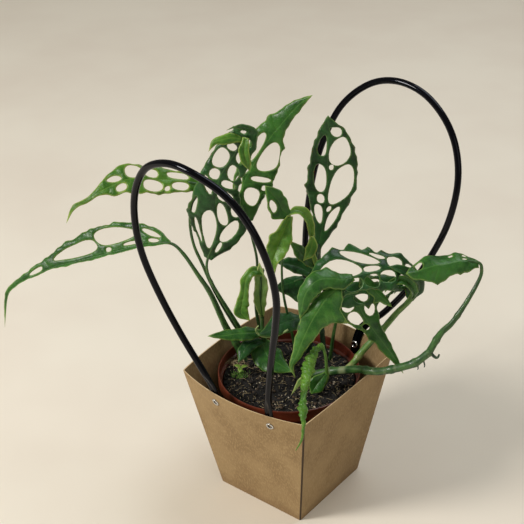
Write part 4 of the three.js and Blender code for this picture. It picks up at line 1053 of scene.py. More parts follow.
def tube_material():
    """Glossy near-black soft tube with a fine skin and a little dust."""
    material, tree, shader = new_material("tube_black")
    place = place_of(tree)
    skin = noise(tree, place, 1.2)
    dust = grained(tree, place, 0.3, 6.0, 0.6, 0.8, most=0.2, fine=0.7)
    body = mix(tree, step(tree, skin, 0.35, 0.7), tint(2, 2, 5), tint(5, 5, 10))
    body = mix(tree, dust, body, tint(18, 20, 30))
    lead(tree, shader, body, step(tree, dust, 0.0, 0.2, 0.16, 0.3), skin, 0.03)
    set_shader(
        shader, Specular_IOR_Level=0.05, Specular_Tint=tint(200, 214, 255), Coat_Weight=0.28,
        Coat_Roughness=0.04, Coat_Tint=tint(214, 224, 255),
    )
    return material


def metal_material():
    """Bright plated metal, with painted shade inside the bore."""
    material, tree, shader = new_material("eyelet_metal")
    grain = noise(tree, place_of(tree), 2.2, 4.0)
    body = mix(tree, step(tree, grain, 0.3, 0.7), tint(188, 188, 188), tint(226, 226, 226))
    # Painted shade: the metal turns near-black towards the bore.
    bore = step(tree, value_of(tree, "ring"), 1.6, 2.3, 0.92, 0.0)
    body = mix(tree, bore, body, tint(20, 18, 16))
    lead(tree, shader, body, step(tree, grain, 0.3, 0.7, 0.12, 0.26), grain, 0.03)
    set_shader(shader, Metallic=1.0)
    return material


def soil_material():
    """Damp near-black peat with brown crumbs."""
    material, tree, shader = new_material("soil_peat")
    place = place_of(tree)
    crumbs = put(tree, "TexVoronoi", {"Vector": place, "Scale": 0.55}, feature="F1")
    shade = step(tree, crumbs.outputs["Distance"], 0.1, 0.9)
    lumps = grained(tree, place, 0.5, 6.0, 0.35, 0.7, fine=0.7)
    body = mix(tree, lumps, tint(9, 8, 7), tint(34, 27, 21))
    bits = grained(tree, place, 1.3, 3.0, 0.66, 0.74)
    body = mix(tree, times(tree, bits, 0.7), body, tint(96, 84, 66))
    rough = step(tree, lumps, 0.0, 1.0, 0.7, 0.95)
    lead(tree, shader, body, rough, minus(tree, lumps, times(tree, shade, 0.8)), 0.8)
    return material


def grained_material(name, first, second, scale, detail, fine, steps):
    """Matter with a plain grain. The steps are the grain's range and the roughness at its ends."""
    material, tree, shader = new_material(name)
    low, high, start, end = steps
    grain = grained(tree, place_of(tree), scale, detail, low, high, fine=fine)
    body = mix(tree, grain, tint(*first), tint(*second))
    lead(tree, shader, body, step(tree, grain, 0.0, 1.0, start, end), grain, 0.1)
    return material


def dry_material(name, first, second):
    """Dry plant matter: fibres, bark bits, pale grit and moss."""
    return grained_material(name, first, second, 0.7, 5.0, 0.65, (0.34, 0.68, 0.7, 0.9))


def cut_edge_material():
    """The pale cut edge of the board."""
    steps = (0.35, 0.68, 0.8, 0.92)
    return grained_material("kraft_cut_edge", (196, 164, 120), (222, 196, 154), 1.4, 4.0, 0.55, steps)


KRAFT = kraft_material()
CUT_EDGE = cut_edge_material()
POT_PLASTIC = pot_material()
TUBE_BLACK = tube_material()
METAL = metal_material()
SOIL_PEAT = soil_material()
FIBRE_TAN = dry_material("fibre_tan", (120, 104, 74), (178, 160, 122))
GRIT_PALE = dry_material("grit_pale", (172, 158, 132), (214, 204, 184))
BARK_BROWN = dry_material("bark_brown", (40, 30, 22), (84, 66, 48))
MOSS_GREEN = dry_material("moss_green", (58, 104, 36), (120, 160, 66))


# Leaf blades

# Steps of the mesh and the margin, places on the midrib, and rows of points beside it
GRID = 1.35
MARGIN_STEP = 1.2
BLADE_PLACES = 241
NEAR = 0.001
RIB_ROWS = (-1.1, -0.5, 0, 0.5, 1.1)
RIB_CLEAR = 1.6
EDGE_CLEAR = 0.5
# Holes: the most that they are widened, in which steps, and the webs and midrib that are left
LACE = 1.15
GROWTH = 1.05
GROWTH_STEPS = 12
WEB = (1.5, 2.4)
RIB_KEPT = 1.1
# Half the blade's thickness inside and at its margin, and the half width below which waves flatten
CREST = 0.26
THIN = 0.07
NARROW = 8


class Blade:
    """A leaf blade between a midrib and two margins, as in the frame."""

    def __init__(self, leaf):
        rows = np.array(leaf["rows"], float)
        self.wave = leaf["wave"]
        self.rib = rows[:, :3]
        last = len(rows) - 1
        order = np.arange(last + 1)
        along = unit(self.rib[np.minimum(order + 1, last)] - self.rib[np.maximum(order - 1, 0)])
        share = order[:, None] / last
        face = (1 - share) * np.array(leaf["face"][0]) + share * np.array(leaf["face"][1])
        face = unit(face - along * (face * along).sum(1, keepdims=True))
        sideways = np.cross(face, along)
        edges = []
        for number, sign in enumerate((1, -1)):
            width = rows[:, 3 + number : 4 + number]
            lift = math.radians(leaf["fold"][number])
            edges.append(self.rib + width * (sign * sideways * math.cos(lift) + face * math.sin(lift)))
        self.left, self.right = edges
        self.places = np.linspace(0, 1, BLADE_PLACES)
        curve = spline(self.rib, self.places)
        steps = np.linalg.norm(np.diff(curve, axis=0), axis=1)
        self.lengths = np.concatenate([[0], np.cumsum(steps)])
        self.length = self.lengths[-1]
        self.widths = [np.linalg.norm(spline(edge, self.places) - curve, axis=1) for edge in edges]

    def width(self, along, across):
        """The half width on each point's side of the midrib."""
        left, right = (np.interp(along, self.places, width) for width in self.widths)
        return np.where(across >= 0, left, right)

    def flat(self, along, across):
        """The point where the blade is laid flat: length along the midrib, and out from it."""
        along = np.clip(along, 0, 1)
        out = across * self.width(along, across)
        return np.stack([np.interp(along, self.places, self.lengths), out], 1)

    def unflat(self, points):
        """Places along and across the blade of points on the flat blade."""
        along = np.interp(points[:, 0], self.lengths, self.places)
        width = np.maximum(self.width(along, points[:, 1]), 0.05)
        return along, points[:, 1] / width

    def surface(self, along, across):
        """Points on the blade in space, with the frame's waved margins."""
        rib = spline(self.rib, along)
        left = spline(self.left, along)
        right = spline(self.right, along)
        edge = np.where((across >= 0)[:, None], left, right)
        ahead = spline(self.rib, np.minimum(along + NEAR, 1))
        behind = spline(self.rib, np.maximum(along - NEAR, 0))
        normal = -unit(np.cross(unit(left - right), unit(ahead - behind)))
        height, count = self.wave
        ripple = height * across**2 * np.sin(math.tau * count * along + np.where(across > 0, 0, 2))
        width = np.linalg.norm(edge - rib, axis=1)
        ripple *= np.minimum(1, width / NARROW)
        return rib + np.abs(across)[:, None] * (edge - rib) + normal * ripple[:, None], normal, width


def widened(loops, number, most):
    """A hole widened ray by ray, up to the given share, until thin webs are left beside it."""
    others = loops[:number] + loops[number + 1 :]
    web = rng.uniform(*WEB)
    middle = loops[number].mean(0)
    rays = loops[number] - middle
    share = np.ones(len(rays))
    for _ in range(GROWTH_STEPS):
        wider = np.minimum(share * GROWTH, most)
        corners = middle + rays * wider[:, None]
        free = (edge_distance(corners, others) > web) & (np.abs(corners[:, 1]) > RIB_KEPT)
        share = np.where(free, wider, share)
    for _ in range(3):
        share = (np.roll(share, 1) + 2 * share + np.roll(share, -1)) / 4
    return middle + rays * share[:, None]


def blade_loops(blade, leaf):
    """The margin and the holes on the flat blade."""
    count = max(10, int(blade.length / MARGIN_STEP))
    along = np.interp(np.linspace(0, blade.length, count + 1), blade.lengths, blade.places)
    arc = np.linspace(0, blade.length, count + 1)
    margins = []
    for side in (1, -1):
        width = blade.width(along, np.full(count + 1, side))
        reach = 1 + np.minimum(0.07, 0.5 / np.maximum(width, 1)) * waves(arc, 26, 8, 4)
        for place, at_side, height, half in leaf.get("bumps", []):
            if at_side == side:
                swell = np.clip(1 - np.abs(along - place) / half, 0, 1) ** 1.2
                reach += height / np.maximum(width, 2) * swell
        margins.append(blade.flat(along, side * reach))
    left, right = margins
    if leaf["rows"][-1][3] == 0:
        right = right[:-1]
    loops = [np.concatenate([left[::-1], right])]
    for middle, out, half_length, half_width, slant in leaf.get("holes", []):
        reach = half_length * blade.length
        corners = int(np.clip(2.4 * (reach + half_width * 12) / MARGIN_STEP, 12, 48))
        angle = round_angles(corners)
        wobble = 1 + 0.04 * np.sin(2 * angle + rng.uniform(0, 6))
        wobble += 0.03 * np.sin(3 * angle + rng.uniform(0, 6))
        pear = 1 + rng.uniform(-0.18, 0.18) * np.cos(angle)
        cosine = squarer(np.cos(angle)) * wobble
        across = half_width * squarer(np.sin(angle)) * wobble * pear
        loops.append(blade.flat(middle + half_length * cosine + slant * across, out + across))
    for number in range(1, len(loops)):
        loops[number] = widened(loops, number, leaf.get("lace", LACE))
    return loops


def blade_inner(blade, loops):
    """Points inside the flat blade: a fine grid, and rows along the midrib."""
    reach = max(width.max() for width in blade.widths)
    x = np.arange(GRID / 2, blade.length, GRID)
    y = np.arange(-reach, reach, GRID * 0.866)
    grid = np.stack(np.meshgrid(x, y), -1)
    grid[1::2, :, 0] += GRID / 2
    grid = grid.reshape(-1, 2)
    grid = grid[np.abs(grid[:, 1]) > RIB_CLEAR]
    row = np.arange(1.0, blade.length - 0.5, GRID)
    rows = [np.stack([row, np.full_like(row, out)], 1) for out in RIB_ROWS]
    points = np.concatenate([grid, *rows])
    points = points[inside(points, loops)]
    return points[edge_distance(points, loops) > EDGE_CLEAR]


def blade_mesh(leaf):
    """Points, faces and kept values of one blade in the plant's axes."""
    blade = Blade(leaf)
    loops = blade_loops(blade, leaf)
    flat, triangles = triangulated(loops, blade_inner(blade, loops))
    along, across = blade.unflat(flat)
    edge = edge_distance(flat, loops)
    points, normal, width = blade.surface(along, across)
    arc, out = flat.T
    apart = np.abs(out)

    broad = np.minimum(1, width / NARROW)
    dome = 0.9 * np.clip(width / 16, 0, 1) * (1 - (2 * np.clip(np.abs(across), 0, 1) - 1) ** 2)
    vein = (arc - VEIN_LEAN * apart - VEIN_BEND * apart**2) / VEIN_SPACING
    vein += np.where(out > 0, VEIN_STAGGER, 0)
    quilt = 0.12 * np.cos(math.tau * vein) * smooth(apart, 0.5, 4) * smooth(edge, 0, 3)
    frill = 0.4 * across**2 * waves(arc, 22, 7) * broad * np.where(out > 0, 1, -1)
    curl = -0.5 * smooth(1.6 - edge, 0, 1.6) * broad
    points = points + normal * (dome + quilt + frill + curl)[:, None]

    a, b, c = (points[triangles[:, i]] for i in range(3))
    facing = np.cross(b - a, c - a)
    normals = np.zeros_like(points)
    for i in range(3):
        np.add.at(normals, triangles[:, i], facing)
    normals = unit(normals)
    half = THIN + (CREST - THIN) * smooth(edge, 0, 1.4)
    taper = 1 - 0.75 * along
    groove = 0.16 * taper * hump(out, 0, 0.45)
    keel = 0.75 * taper * hump(out, 0, 0.7) * smooth(edge, 0, 1.5)
    top = points + normals * (half - groove)[:, None]
    bottom = points - normals * (half + keel)[:, None]
    count = len(points)
    faces = triangles.tolist() + (triangles[:, ::-1] + count).tolist()
    sides = np.concatenate([triangles[:, [0, 1]], triangles[:, [1, 2]], triangles[:, [2, 0]]])
    known = {tuple(pair) for pair in sides.tolist()}
    for start, end in known:
        if (end, start) not in known:
            faces.append([end, start, start + count, end + count])
    values = {
        "arc": np.tile(arc, 2), "out": np.tile(out, 2), "edge": np.tile(edge, 2),
        "along": np.tile(along, 2), "side": np.repeat([1.0, 0.0], count),
        "seed": np.full(2 * count, rng.uniform(0, 90)),
    }
    return np.concatenate([top, bottom]), faces, values


# Stems

STEM_STEP = 1.6
STEM_SIDES = 12
CREEPER_SIDES = 18


def stem_mesh(stem, sides, joints=(), scar=None):
    """Points, faces and kept values of a tapering stem with swollen joints."""
    places, length = even_places(stem["points"], STEM_STEP)
    points = spline(stem["points"], places)
    share = np.linspace(0, 1, len(places))
    first, last = stem["radii"]
    radius = first + (last - first) * share
    arc = share * length
    radius = radius * (1 + 0.03 * waves(arc, 40, 9))
    for joint in joints:
        radius = radius * (1 + 0.22 * hump(arc, joint, 1.8))
    angle = round_angles(sides)
    groove = 1 - 0.1 * hump(angle, math.pi, 0.45) * smooth(share, 0.3, 0.8)[:, None]
    rings, faces = tube(points, radius[:, None] * groove, sides)
    marked = hump(arc, *scar) if scar else np.zeros_like(arc)
    for joint in joints:
        marked = np.maximum(marked, 0.35 * hump(arc, joint, 0.9))
    values = {
        "arc": np.repeat(arc, sides), "around": np.tile(np.abs(angle - math.pi), len(arc)),
        "scar": np.repeat(marked, sides), "seed": np.full(len(rings), rng.uniform(0, 90)),
    }
    return rings, faces, values


# The slot of each node of the plant and soil
SLOTS = {
    "leaf_far_left_low": "leaf_dark", "leaf_far_left_high": "leaf_young", "leaf_left": "leaf_dark",
    "leaf_top": "leaf_mid", "leaf_right_upright": "leaf_mid", "leaf_right_pendant": "leaf_mid",
    "shoot_creeping": "leaf_mid", "shoot_centre": "leaf_young", "shoot_left": "leaf_mid",
    "leaf_low_centre": "leaf_dark", "leaf_unfurling": "leaf_young", "sprout": "leaf_young",
    "soil": "soil",
}

# Each blade: its node and finish
BLADES = {
    "farLeftLow": ("leaf_far_left_low", "mid"),
    "farLeftHigh": ("leaf_far_left_high", "fresh"),
    "left": ("leaf_left", "dark"),
    "leftLobe": ("leaf_left", "fresh"),
    "leftTwist": ("leaf_left", "fresh"),
    "top": ("leaf_top", "mid"),
    "rightUpright": ("leaf_right_upright", "dark"),
    "rightArching": ("shoot_creeping", "dark"),
    "archFront": ("shoot_creeping", "lit"),
    "archTail": ("shoot_creeping", "mid"),
    "archLobe": ("shoot_creeping", "mid"),
    "archInner": ("shoot_creeping", "dark"),
    "swirlOuter": ("shoot_creeping", "dark"),
    "swirlInner": ("shoot_creeping", "mid"),
    "rightPendant": ("leaf_right_pendant", "mid"),
    "farRight": ("shoot_creeping", "mid"),
    "strap": ("shoot_centre", "bright"),
    "centreUp": ("shoot_centre", "mid"),
    "centreHanging": ("shoot_centre", "bright"),
    "centreOlive": ("shoot_centre", "mid"),
    "centrePale": ("shoot_centre", "bright"),
    "centreDark": ("shoot_centre", "dark"),
    "centreArched": ("shoot_centre", "dark"),
    "leftPale": ("shoot_left", "pale"),
    "leftCurly": ("shoot_left", "fresh"),
    "lowLeft": ("shoot_left", "mid"),
    "lowFront": ("shoot_left", "mid"),
    "lowBack": ("shoot_left", "dark"),
    "lowCentre": ("leaf_low_centre", "dark"),
    "spur": ("leaf_unfurling", "pale"),
    "youngDark": ("leaf_unfurling", "mid"),
}

# Each stem: its node, finish, swollen joints by length from the foot, and a pale scar
STEM_PIECES = {
    "farLeftLow": ("leaf_far_left_low", "green", [24], None),
    "farLeftHigh": ("leaf_far_left_high", "green", [20], None),
    "left": ("leaf_left", "green", [22, 92], None),
    "top": ("leaf_top", "green", [], None),
    "rightUpright": ("leaf_right_upright", "deep", [26], None),
    "creeping": ("shoot_creeping", "creeper", [26, 62, 84, 104], (38, 4)),
    "farRight": ("shoot_creeping", "green", [14, 40], None),
    "rightArching": ("shoot_creeping", "fresh", [16, 48], (4, 5)),
    "rightPendant": ("leaf_right_pendant", "green", [], None),
    "centre": ("shoot_centre", "deep", [30, 62], None),
    "centreThin": ("shoot_centre", "green", [], None),
    "centreArched": ("shoot_centre", "green", [], None),
    "centreCrown": ("shoot_centre", "fresh", [], None),
    "leftShoot": ("shoot_left", "green", [18, 38], None),
    "lowCentre": ("leaf_low_centre", "green", [], None),
    "unfurling": ("leaf_unfurling", "fresh", [12, 30], None),
}


def plain_name(key):
    """A piece name in small letters from a table's key."""
    return "".join("_" + letter.lower() if letter.isupper() else letter for letter in key)


def make_plant_piece(name, mesh, material, node):
    """A piece of the plant or soil, from points, faces and perhaps values in the plant's axes."""
    points, faces, *values = mesh
    make_piece(name, turned(points, PLANT_TURN), faces, SLOTS[node], [material], [node], *values)


def make_blades():
    """Every leaf blade but the furled one."""
    for key, (node, finish) in BLADES.items():
        mesh = blade_mesh(LEAVES[key])
        make_plant_piece("blade_" + plain_name(key), mesh, LEAF_MATERIALS[finish], node)


def make_stems():
    """Every stem but the sprout's."""
    for key, (node, finish, joints, scar) in STEM_PIECES.items():
        sides = CREEPER_SIDES if key == "creeping" else STEM_SIDES
        mesh = stem_mesh(STEMS[key], sides, joints, scar)
        make_plant_piece("stem_" + plain_name(key), mesh, STEM_MATERIALS[finish], node)


# The furled leaf: its mesh, and its lumps as a pitch along the roll and a number around it
ROLL_STEP = 0.8
ROLL_SIDES = 28
ROLL_LUMPS = ((9.5, 1), (6.1, 2), (4.3, 1), (3.1, 3))
LUMP_SHARE = 0.115


def make_furled_leaf():
    """A new leaf that is still rolled up: a lumpy pale roll with a spiral edge and a thin tail."""
    table = np.array(FURLED)
    places, length = even_places(table[:, :3], ROLL_STEP)
    points = spline(table[:, :3], places)
    radius = spline(table[:, [3, 3, 3]], places)[:, 0]
    share = np.linspace(0, 1, len(places))
    arc = share * length
    angle = round_angles(ROLL_SIDES)
    lumps = np.zeros((len(arc), ROLL_SIDES))
    for pitch, turns in ROLL_LUMPS:
        phase = rng.uniform(0, math.tau)
        lumps += np.sin(math.tau * arc[:, None] / pitch + turns * angle[None, :] + phase)
    spiral = (angle[None, :] - 0.09 * arc[:, None] + 0.4 * np.sin(arc[:, None] / 7)) % math.tau
    seam = -0.3 * hump(spiral, 0, 0.35) + 0.12 * hump(spiral, 0.8, 0.4)
    held = smooth(share, 0.95, 0.75)[:, None]
    thick = radius[:, None] * (1 + (LUMP_SHARE * lumps + seam) * held)
    rings, faces = tube(points, thick, ROLL_SIDES)
    values = {
        "arc": np.repeat(arc, ROLL_SIDES), "out": np.tile(np.abs(angle - math.pi) * 3, len(arc)) + 2,
        "edge": np.full(len(rings), 4.0), "along": np.repeat(share, ROLL_SIDES) * 0.95,
        "side": np.ones(len(rings)), "seed": np.full(len(rings), 7.0),
    }
    mesh = (rings, faces, values)
    make_plant_piece("blade_furled", mesh, LEAF_MATERIALS["bright"], "leaf_unfurling")


# Radii of the curled margin at its ends, and of the root nubs and the bud
CURL_RADII = (1.0, 0.6)
NUB_RADIUS = 0.7
BUD_RADIUS = 1.5


def make_thin_growths():
    """The pale curled margin of the low leaf, and the root nubs and bud of the creeping stem."""
    curl = spline(CURLED_MARGIN, np.linspace(0, 1, 40))
    curls = [tube(curl, np.linspace(*CURL_RADII, 40), 10)]
    nubs = []
    for line in ROOT_NUBS:
        radius = BUD_RADIUS if line is ROOT_NUBS[-1] else NUB_RADIUS
        nubs.append(tube(spline(line, np.linspace(0, 1, 14)), radius * np.linspace(1, 0.45, 14), 8))
    for name, parts, finish, node in (
        ("curled_margin", curls, "margin", "shoot_left"),
        ("root_nubs", nubs, "deep", "shoot_creeping"),
    ):
        points, faces = joined(parts)
        values = {label: np.zeros(len(points)) for label in ("around", "scar", "seed")}
        values["arc"] = points[:, 2]
        make_plant_piece(name, (points, faces, values), STEM_MATERIALS[finish], node)


# Carrier

PANELS = ("front", "right", "back", "left")
PER_SIDE = 26
CORNER_STEPS = 4
LEVELS = 40
OUTER_CORNER = 1.4
INNER_CORNER = 0.7


def carrier_half(height):
    """Half the width between the carrier's corners at a height."""
    return BASE_HALF + (TOP_HALF - BASE_HALF) * height / HEIGHT


def panel_bow(side, across, height):
    """How far a panel bows out at a place across it and a height."""
    half = carrier_half(height)
    return BOW[side] * (height / HEIGHT) ** 2 * (1 - (across / half) ** 2)


def carrier_ring(height, inset, corner):
    """The board's outline at a height, with round corners, and how far each point is from one."""
    full = carrier_half(height)
    half = full - inset
    ring = []
    near = []
    bend = np.linspace(0, 1, CORNER_STEPS + 2)[1:-1, None]
    for quarter, side in enumerate(PANELS):
        turn = quarter * math.pi / 2
        across = np.linspace(-half + corner, half - corner, PER_SIDE)
        out = half + panel_bow(side, across * full / half, height)
        panel = np.stack([across, -out, np.full_like(across, height)], 1)
        ahead = PANELS[(quarter + 1) % len(PANELS)]
        next_out = half + panel_bow(ahead, (-half + corner) * full / half, height)
        start = panel[-1]
        tip = np.array([half, -half, height])
        end = np.array([next_out, -half + corner, height])
        curve = start * (1 - bend) ** 2 + 2 * tip * bend * (1 - bend) + end * bend**2
        ring.append(turned(np.concatenate([panel, curve]), turn))
        near.append(np.concatenate([half - np.abs(across), np.zeros(CORNER_STEPS)]))
    return np.concatenate(ring), np.concatenate(near)


def make_carrier():
    """One sheet of board with a flat bottom, bowed panels and a pale cut edge."""
    heights = np.linspace(0, 1, LEVELS) ** 0.9 * HEIGHT
    outside = [carrier_ring(height, 0, OUTER_CORNER) for height in heights]
    within = [carrier_ring(max(height, BOARD), BOARD, INNER_CORNER) for height in heights[::-1]]
    rings, near = zip(*outside, *within)
    sides = len(rings[0])
    faces = ring_faces(len(rings), sides)
    kinds = np.zeros(len(faces), int)
    kinds[(LEVELS - 1) * sides : LEVELS * sides] = 1
    level = np.repeat(np.concatenate([heights, heights[::-1]]), sides)
    front_corner = (np.arange(len(level)) % sides) // (PER_SIDE + CORNER_STEPS) == 0
    # The seam value marks where painted shade darkens the front panel's corner folds.
    seam = front_corner * smooth(level, 0.98 * HEIGHT, 0.8 * HEIGHT)
    values = {"corner": np.concatenate(near), "level": level, "seam": seam}
    make_piece(
        "carrier_board", np.concatenate(rings), faces, "kraft_board", [KRAFT, CUT_EDGE], ["carrier"],
        values, kinds, crease=40,
    )


def panel_point(side, across, height):
    """The point and outward normal on a panel's outer face."""

    def on_panel(x, z):
        """The panel's point at a place across it and a height."""
        return np.array([x, -carrier_half(z) - panel_bow(side, x, z), z])

    normal = np.cross(
        on_panel(across + 0.5, height) - on_panel(across - 0.5, height),
        on_panel(across, height + 0.5) - on_panel(across, height - 0.5),
    )
    point = on_panel(across, height)
    if side == "back":
        point[:2] *= -1
        normal[:2] *= -1
    return point, unit(normal)


# Pot

POT_SIDES = 120
DRAIN_SIDES = 20


def circle(sides, radius):
    """Flat points around a circle."""
    angle = round_angles(sides)
    return np.stack([np.cos(angle), np.sin(angle)], 1) * radius


def make_pot():
    """A thin moulded pot: rolled rim, band, plain wall and a bottom with drainage holes."""
    foot = BOARD + GAP
    rim = POT["rim"]
    neck = rim - POT["step"]
    wall = POT["wall"]
    top = POT["top"]
    low = top - POT["band"]
    base = POT["base"]
    under = base - 1
    floor = base - wall - 0.4
    profile = [[under, foot], [base - 0.3, foot + 0.3], [base, foot + 1.1]]
    for share in np.linspace(0.1, 0.99, 12):
        profile.append([base + (neck - base) * share, foot + (low - foot) * share])
    profile += [
        [neck, low - 0.5], [neck + 0.3, low], [rim - 0.5, low], [rim, low + 0.4], [rim, low + 1.2],
        [rim - 0.15, low + 1.8], [rim - 0.15, top - 2.4], [rim, top - 1.8], [rim, top - 0.8],
        [rim - 0.2, top - 0.2], [rim - 0.6, top], [rim - 1.0, top - 0.15], [rim - wall, top - 0.6],
        [rim - wall, low + wall + 0.5], [rim - wall - 0.5, low + wall], [neck - wall, low + wall - 0.4],
    ]
    for share in np.linspace(0.98, 0.02, 10):
        profile.append([base + (neck - base) * share - wall, foot + wall + (low - foot) * share])
    profile.append([floor, foot + wall])
    parts = [lathe(profile, POT_SIDES)]
    drain = circle(DRAIN_SIDES, DRAIN["radius"])
    holes = [drain + middle for middle in circle(DRAIN["holes"], DRAIN["ring"])]
    for radius, height, up in ((under, foot, False), (floor, foot + wall, True)):
        flat, triangles = triangulated([circle(POT_SIDES, radius), *holes], np.zeros((1, 2)))
        points = np.concatenate([flat, np.full((len(flat), 1), height)], 1)
        parts.append((points, triangles.tolist() if up else triangles[:, ::-1].tolist()))
    for hole in holes:
        rings = [np.insert(hole[::-1], 2, height, axis=1) for height in (foot, foot + wall)]
        parts.append((np.concatenate(rings), ring_faces(2, DRAIN_SIDES, closed=False)))
    points, faces = joined(parts)
    make_piece("pot_shell", points, faces, "pot_plastic", [POT_PLASTIC], ["pot"], crease=35)


# Tube handles and eyelets

TUBE_STEP = 1.7
TUBE_SIDES = 28
EYELET_SIDES = 40


def handle_points(side, loop):
    """A loop's points in space: inside the panel up to its edge, and leaning out above it."""
    stack = BOARD + TUBE["seat"] + PRESSED["half_thick"]
    turn = 1 if side == "front" else -1
    points = []
    for across, height in loop:
        beside = min(max(across, loop[0][0]), loop[-1][0])
        held = min(height, HEIGHT)
        point, _ = panel_point(side, turn * beside, held)
        depth = abs(point[1]) - stack + TUBE["lean"] * (height - held)
        points.append([across, -turn * depth, height])
    return points


def make_handle(side, loop):
    """A round tube, pressed flat with two ridges and a crease where the eyelets hold it."""
    turn = 1 if side == "front" else -1
    control = handle_points(side, loop)
    places, length = even_places(control, TUBE_STEP)
    centre = spline(control, places)
    along = unit(np.gradient(centre, axis=0))
    rolled = np.array([0, -turn, PRESSED["roll"]])
    outward = unit(rolled - along * (along @ rolled)[:, None])
    sideways = np.cross(outward, along)
    share = np.linspace(0, 1, len(places))
    from_end = np.minimum(share, 1 - share) * length
    round_part = smooth(from_end, PRESSED["start"], PRESSED["end"])[:, None]
    angle = round_angles(TUBE_SIDES) + math.pi / TUBE_SIDES
    dent = 1 - 0.5 * (1 - round_part) * hump(np.cos(angle), 0, 0.34)[None, :]
    squarish = 1 + 0.22 * (1 - round_part) * (np.sin(2 * angle) ** 2)[None, :]
    radius = TUBE["radius"]
    half_width = PRESSED["half_width"] + (radius - PRESSED["half_width"]) * round_part
    ridge = PRESSED["half_thick"] * 1.12
    half_thick = ridge + (radius - ridge) * round_part
    out = (half_thick * dent * squarish * np.sin(angle))[..., None] * outward[:, None]
    rings = centre[:, None] + (half_width * np.cos(angle))[..., None] * sideways[:, None] + out
    faces = ring_faces(len(places), TUBE_SIDES)
    make_piece(
        "handle_tube_" + side, rings.reshape(-1, 3), faces, "tube_black", [TUBE_BLACK],
        ["handle_" + side],
    )


def make_eyelets():
    """Rolled rings through the panels and the pressed tube ends."""
    flange = EYELET["flange"]
    plate = EYELET["plate"]
    bore = EYELET["bore"]
    outer = GAP
    inner = -(BOARD + TUBE["seat"] + 2 * PRESSED["half_thick"] + EYELET["seat"])
    profile = [
        [bore, inner], [bore + 0.4, inner - plate * 0.4], [bore + 0.9, inner - plate],
        [flange - 0.9, inner - plate * 1.2], [flange - 0.3, inner - plate * 0.8],
        [flange, inner - plate * 0.3], [flange - 0.1, inner],
        [EYELET["barrel"], inner], [EYELET["barrel"], outer],
        [flange - 0.1, outer], [flange, outer + plate * 0.3], [flange - 0.3, outer + plate * 0.9],
        [flange - 0.9, outer + plate * 1.4], [bore + 0.9, outer + plate * 1.1],
        [bore + 0.4, outer + plate * 0.4], [bore, outer],
    ]
    for side, loop in (("front", FRONT_LOOP), ("back", BACK_LOOP)):
        for end, at in (("left", loop[0]), ("right", loop[-1])):
            across = at[0] if side == "front" else -at[0]
            point, normal = panel_point(side, across, EYELET["height"])
            rings, faces = lathe(profile + profile[:1], EYELET_SIDES)
            aim = np.array(Vector((0, 0, 1)).rotation_difference(Vector(normal)).to_matrix())
            name = f"{side}_{end}"
            make_piece(
                "eyelet_ring_" + name, rings @ aim.T + point, faces, "eyelet_metal", [METAL],
                ["eyelet_" + name], {"ring": np.hypot(rings[:, 0], rings[:, 1])},
            )


# Soil

SOIL_SIDES = 140
SOIL_RINGS = 62
SOIL_REACH = 54
WALL_CLEAR = 0.7
GOLDEN = (1 + 5**0.5) / 2
CRUMB_FLAT = 0.8
# Each kind of bit: how many, their sizes and material
SOIL_BITS = {
    "soil_crumbs": (1700, (0.5, 1.7), SOIL_PEAT),
    "soil_bark": (130, (0.7, 2.0), BARK_BROWN),
    "soil_grit": (420, (0.25, 0.85), GRIT_PALE),
}
SOIL_FIBRES = 420
# A tuft of dry fibres beside the left wall: how many, its middle and its spread
TUFT = (46, (-44, 24), (5, 4))


def soil_height(x, y):
    """The height of the soil, as in the frame."""
    broad = np.sin(x * 0.21 + 1.3) * np.cos(y * 0.19 - 0.4)
    fine = 0.5 * np.sin(x * 0.47 - y * 0.41)
    return SOIL_LEVEL + 0.92 * (broad + fine)


def pot_inner(height):
    """The radius inside the pot's wall at a height."""
    floor = BOARD + GAP + POT["wall"]
    ledge = POT["top"] - POT["band"] + POT["wall"]
    neck = POT["rim"] - POT["step"]
    return POT["base"] + (neck - POT["base"]) * (height - floor) / (ledge - floor) - POT["wall"]


def twelve_corners():
    """The corners of a regular body with 20 faces, whose edges are 2 long."""
    corners = []
    for a in (-1, 1):
        for b in (-GOLDEN, GOLDEN):
            corners += [[0, a, b], [a, b, 0], [b, 0, a]]
    return np.array(corners, float)


def crumb_points(size):
    """The corners of a small uneven crumb."""
    corners = unit(twelve_corners()) * rng.uniform(0.75, 1.15, (12, 1)) * size
    corners[:, 2] *= CRUMB_FLAT
    return turned(corners, rng.uniform(0, 6.3))


def crumb_faces():
    """The 20 faces of a crumb: every three corners that lie side by side."""
    corners = twelve_corners()
    faces = []
    for three in combinations(range(12), 3):
        a, b, c = corners[list(three)]
        if max(np.linalg.norm(side) for side in (b - a, c - b, a - c)) < 2.1:
            outward = np.cross(b - a, c - a) @ (a + b + c) > 0
            faces.append(list(three if outward else three[::-1]))
    return faces


def spots(count):
    """Seeded places over the soil."""
    radius = SOIL_REACH * np.sqrt(rng.uniform(0, 1, count))
    angle = rng.uniform(0, math.tau, count)
    return radius * np.cos(angle), radius * np.sin(angle)


def fibre(x, y, length, radius, rise):
    """One bent dry fibre that lies on the soil."""
    turn = rng.uniform(0, math.tau)
    share = np.linspace(-0.5, 0.5, 7)
    bend = rng.uniform(-0.5, 0.5) * length
    along = length * share
    aside = bend * (share**2 - 0.1)
    px = x + along * math.cos(turn) - aside * math.sin(turn)
    py = y + along * math.sin(turn) + aside * math.cos(turn)
    pz = soil_height(px, py) + 0.6 + rise * (0.25 - share**2) * 4
    points = np.stack([px, py, pz], 1)
    return tube(points, radius * (1 - 0.5 * np.abs(share) * 2), 5)


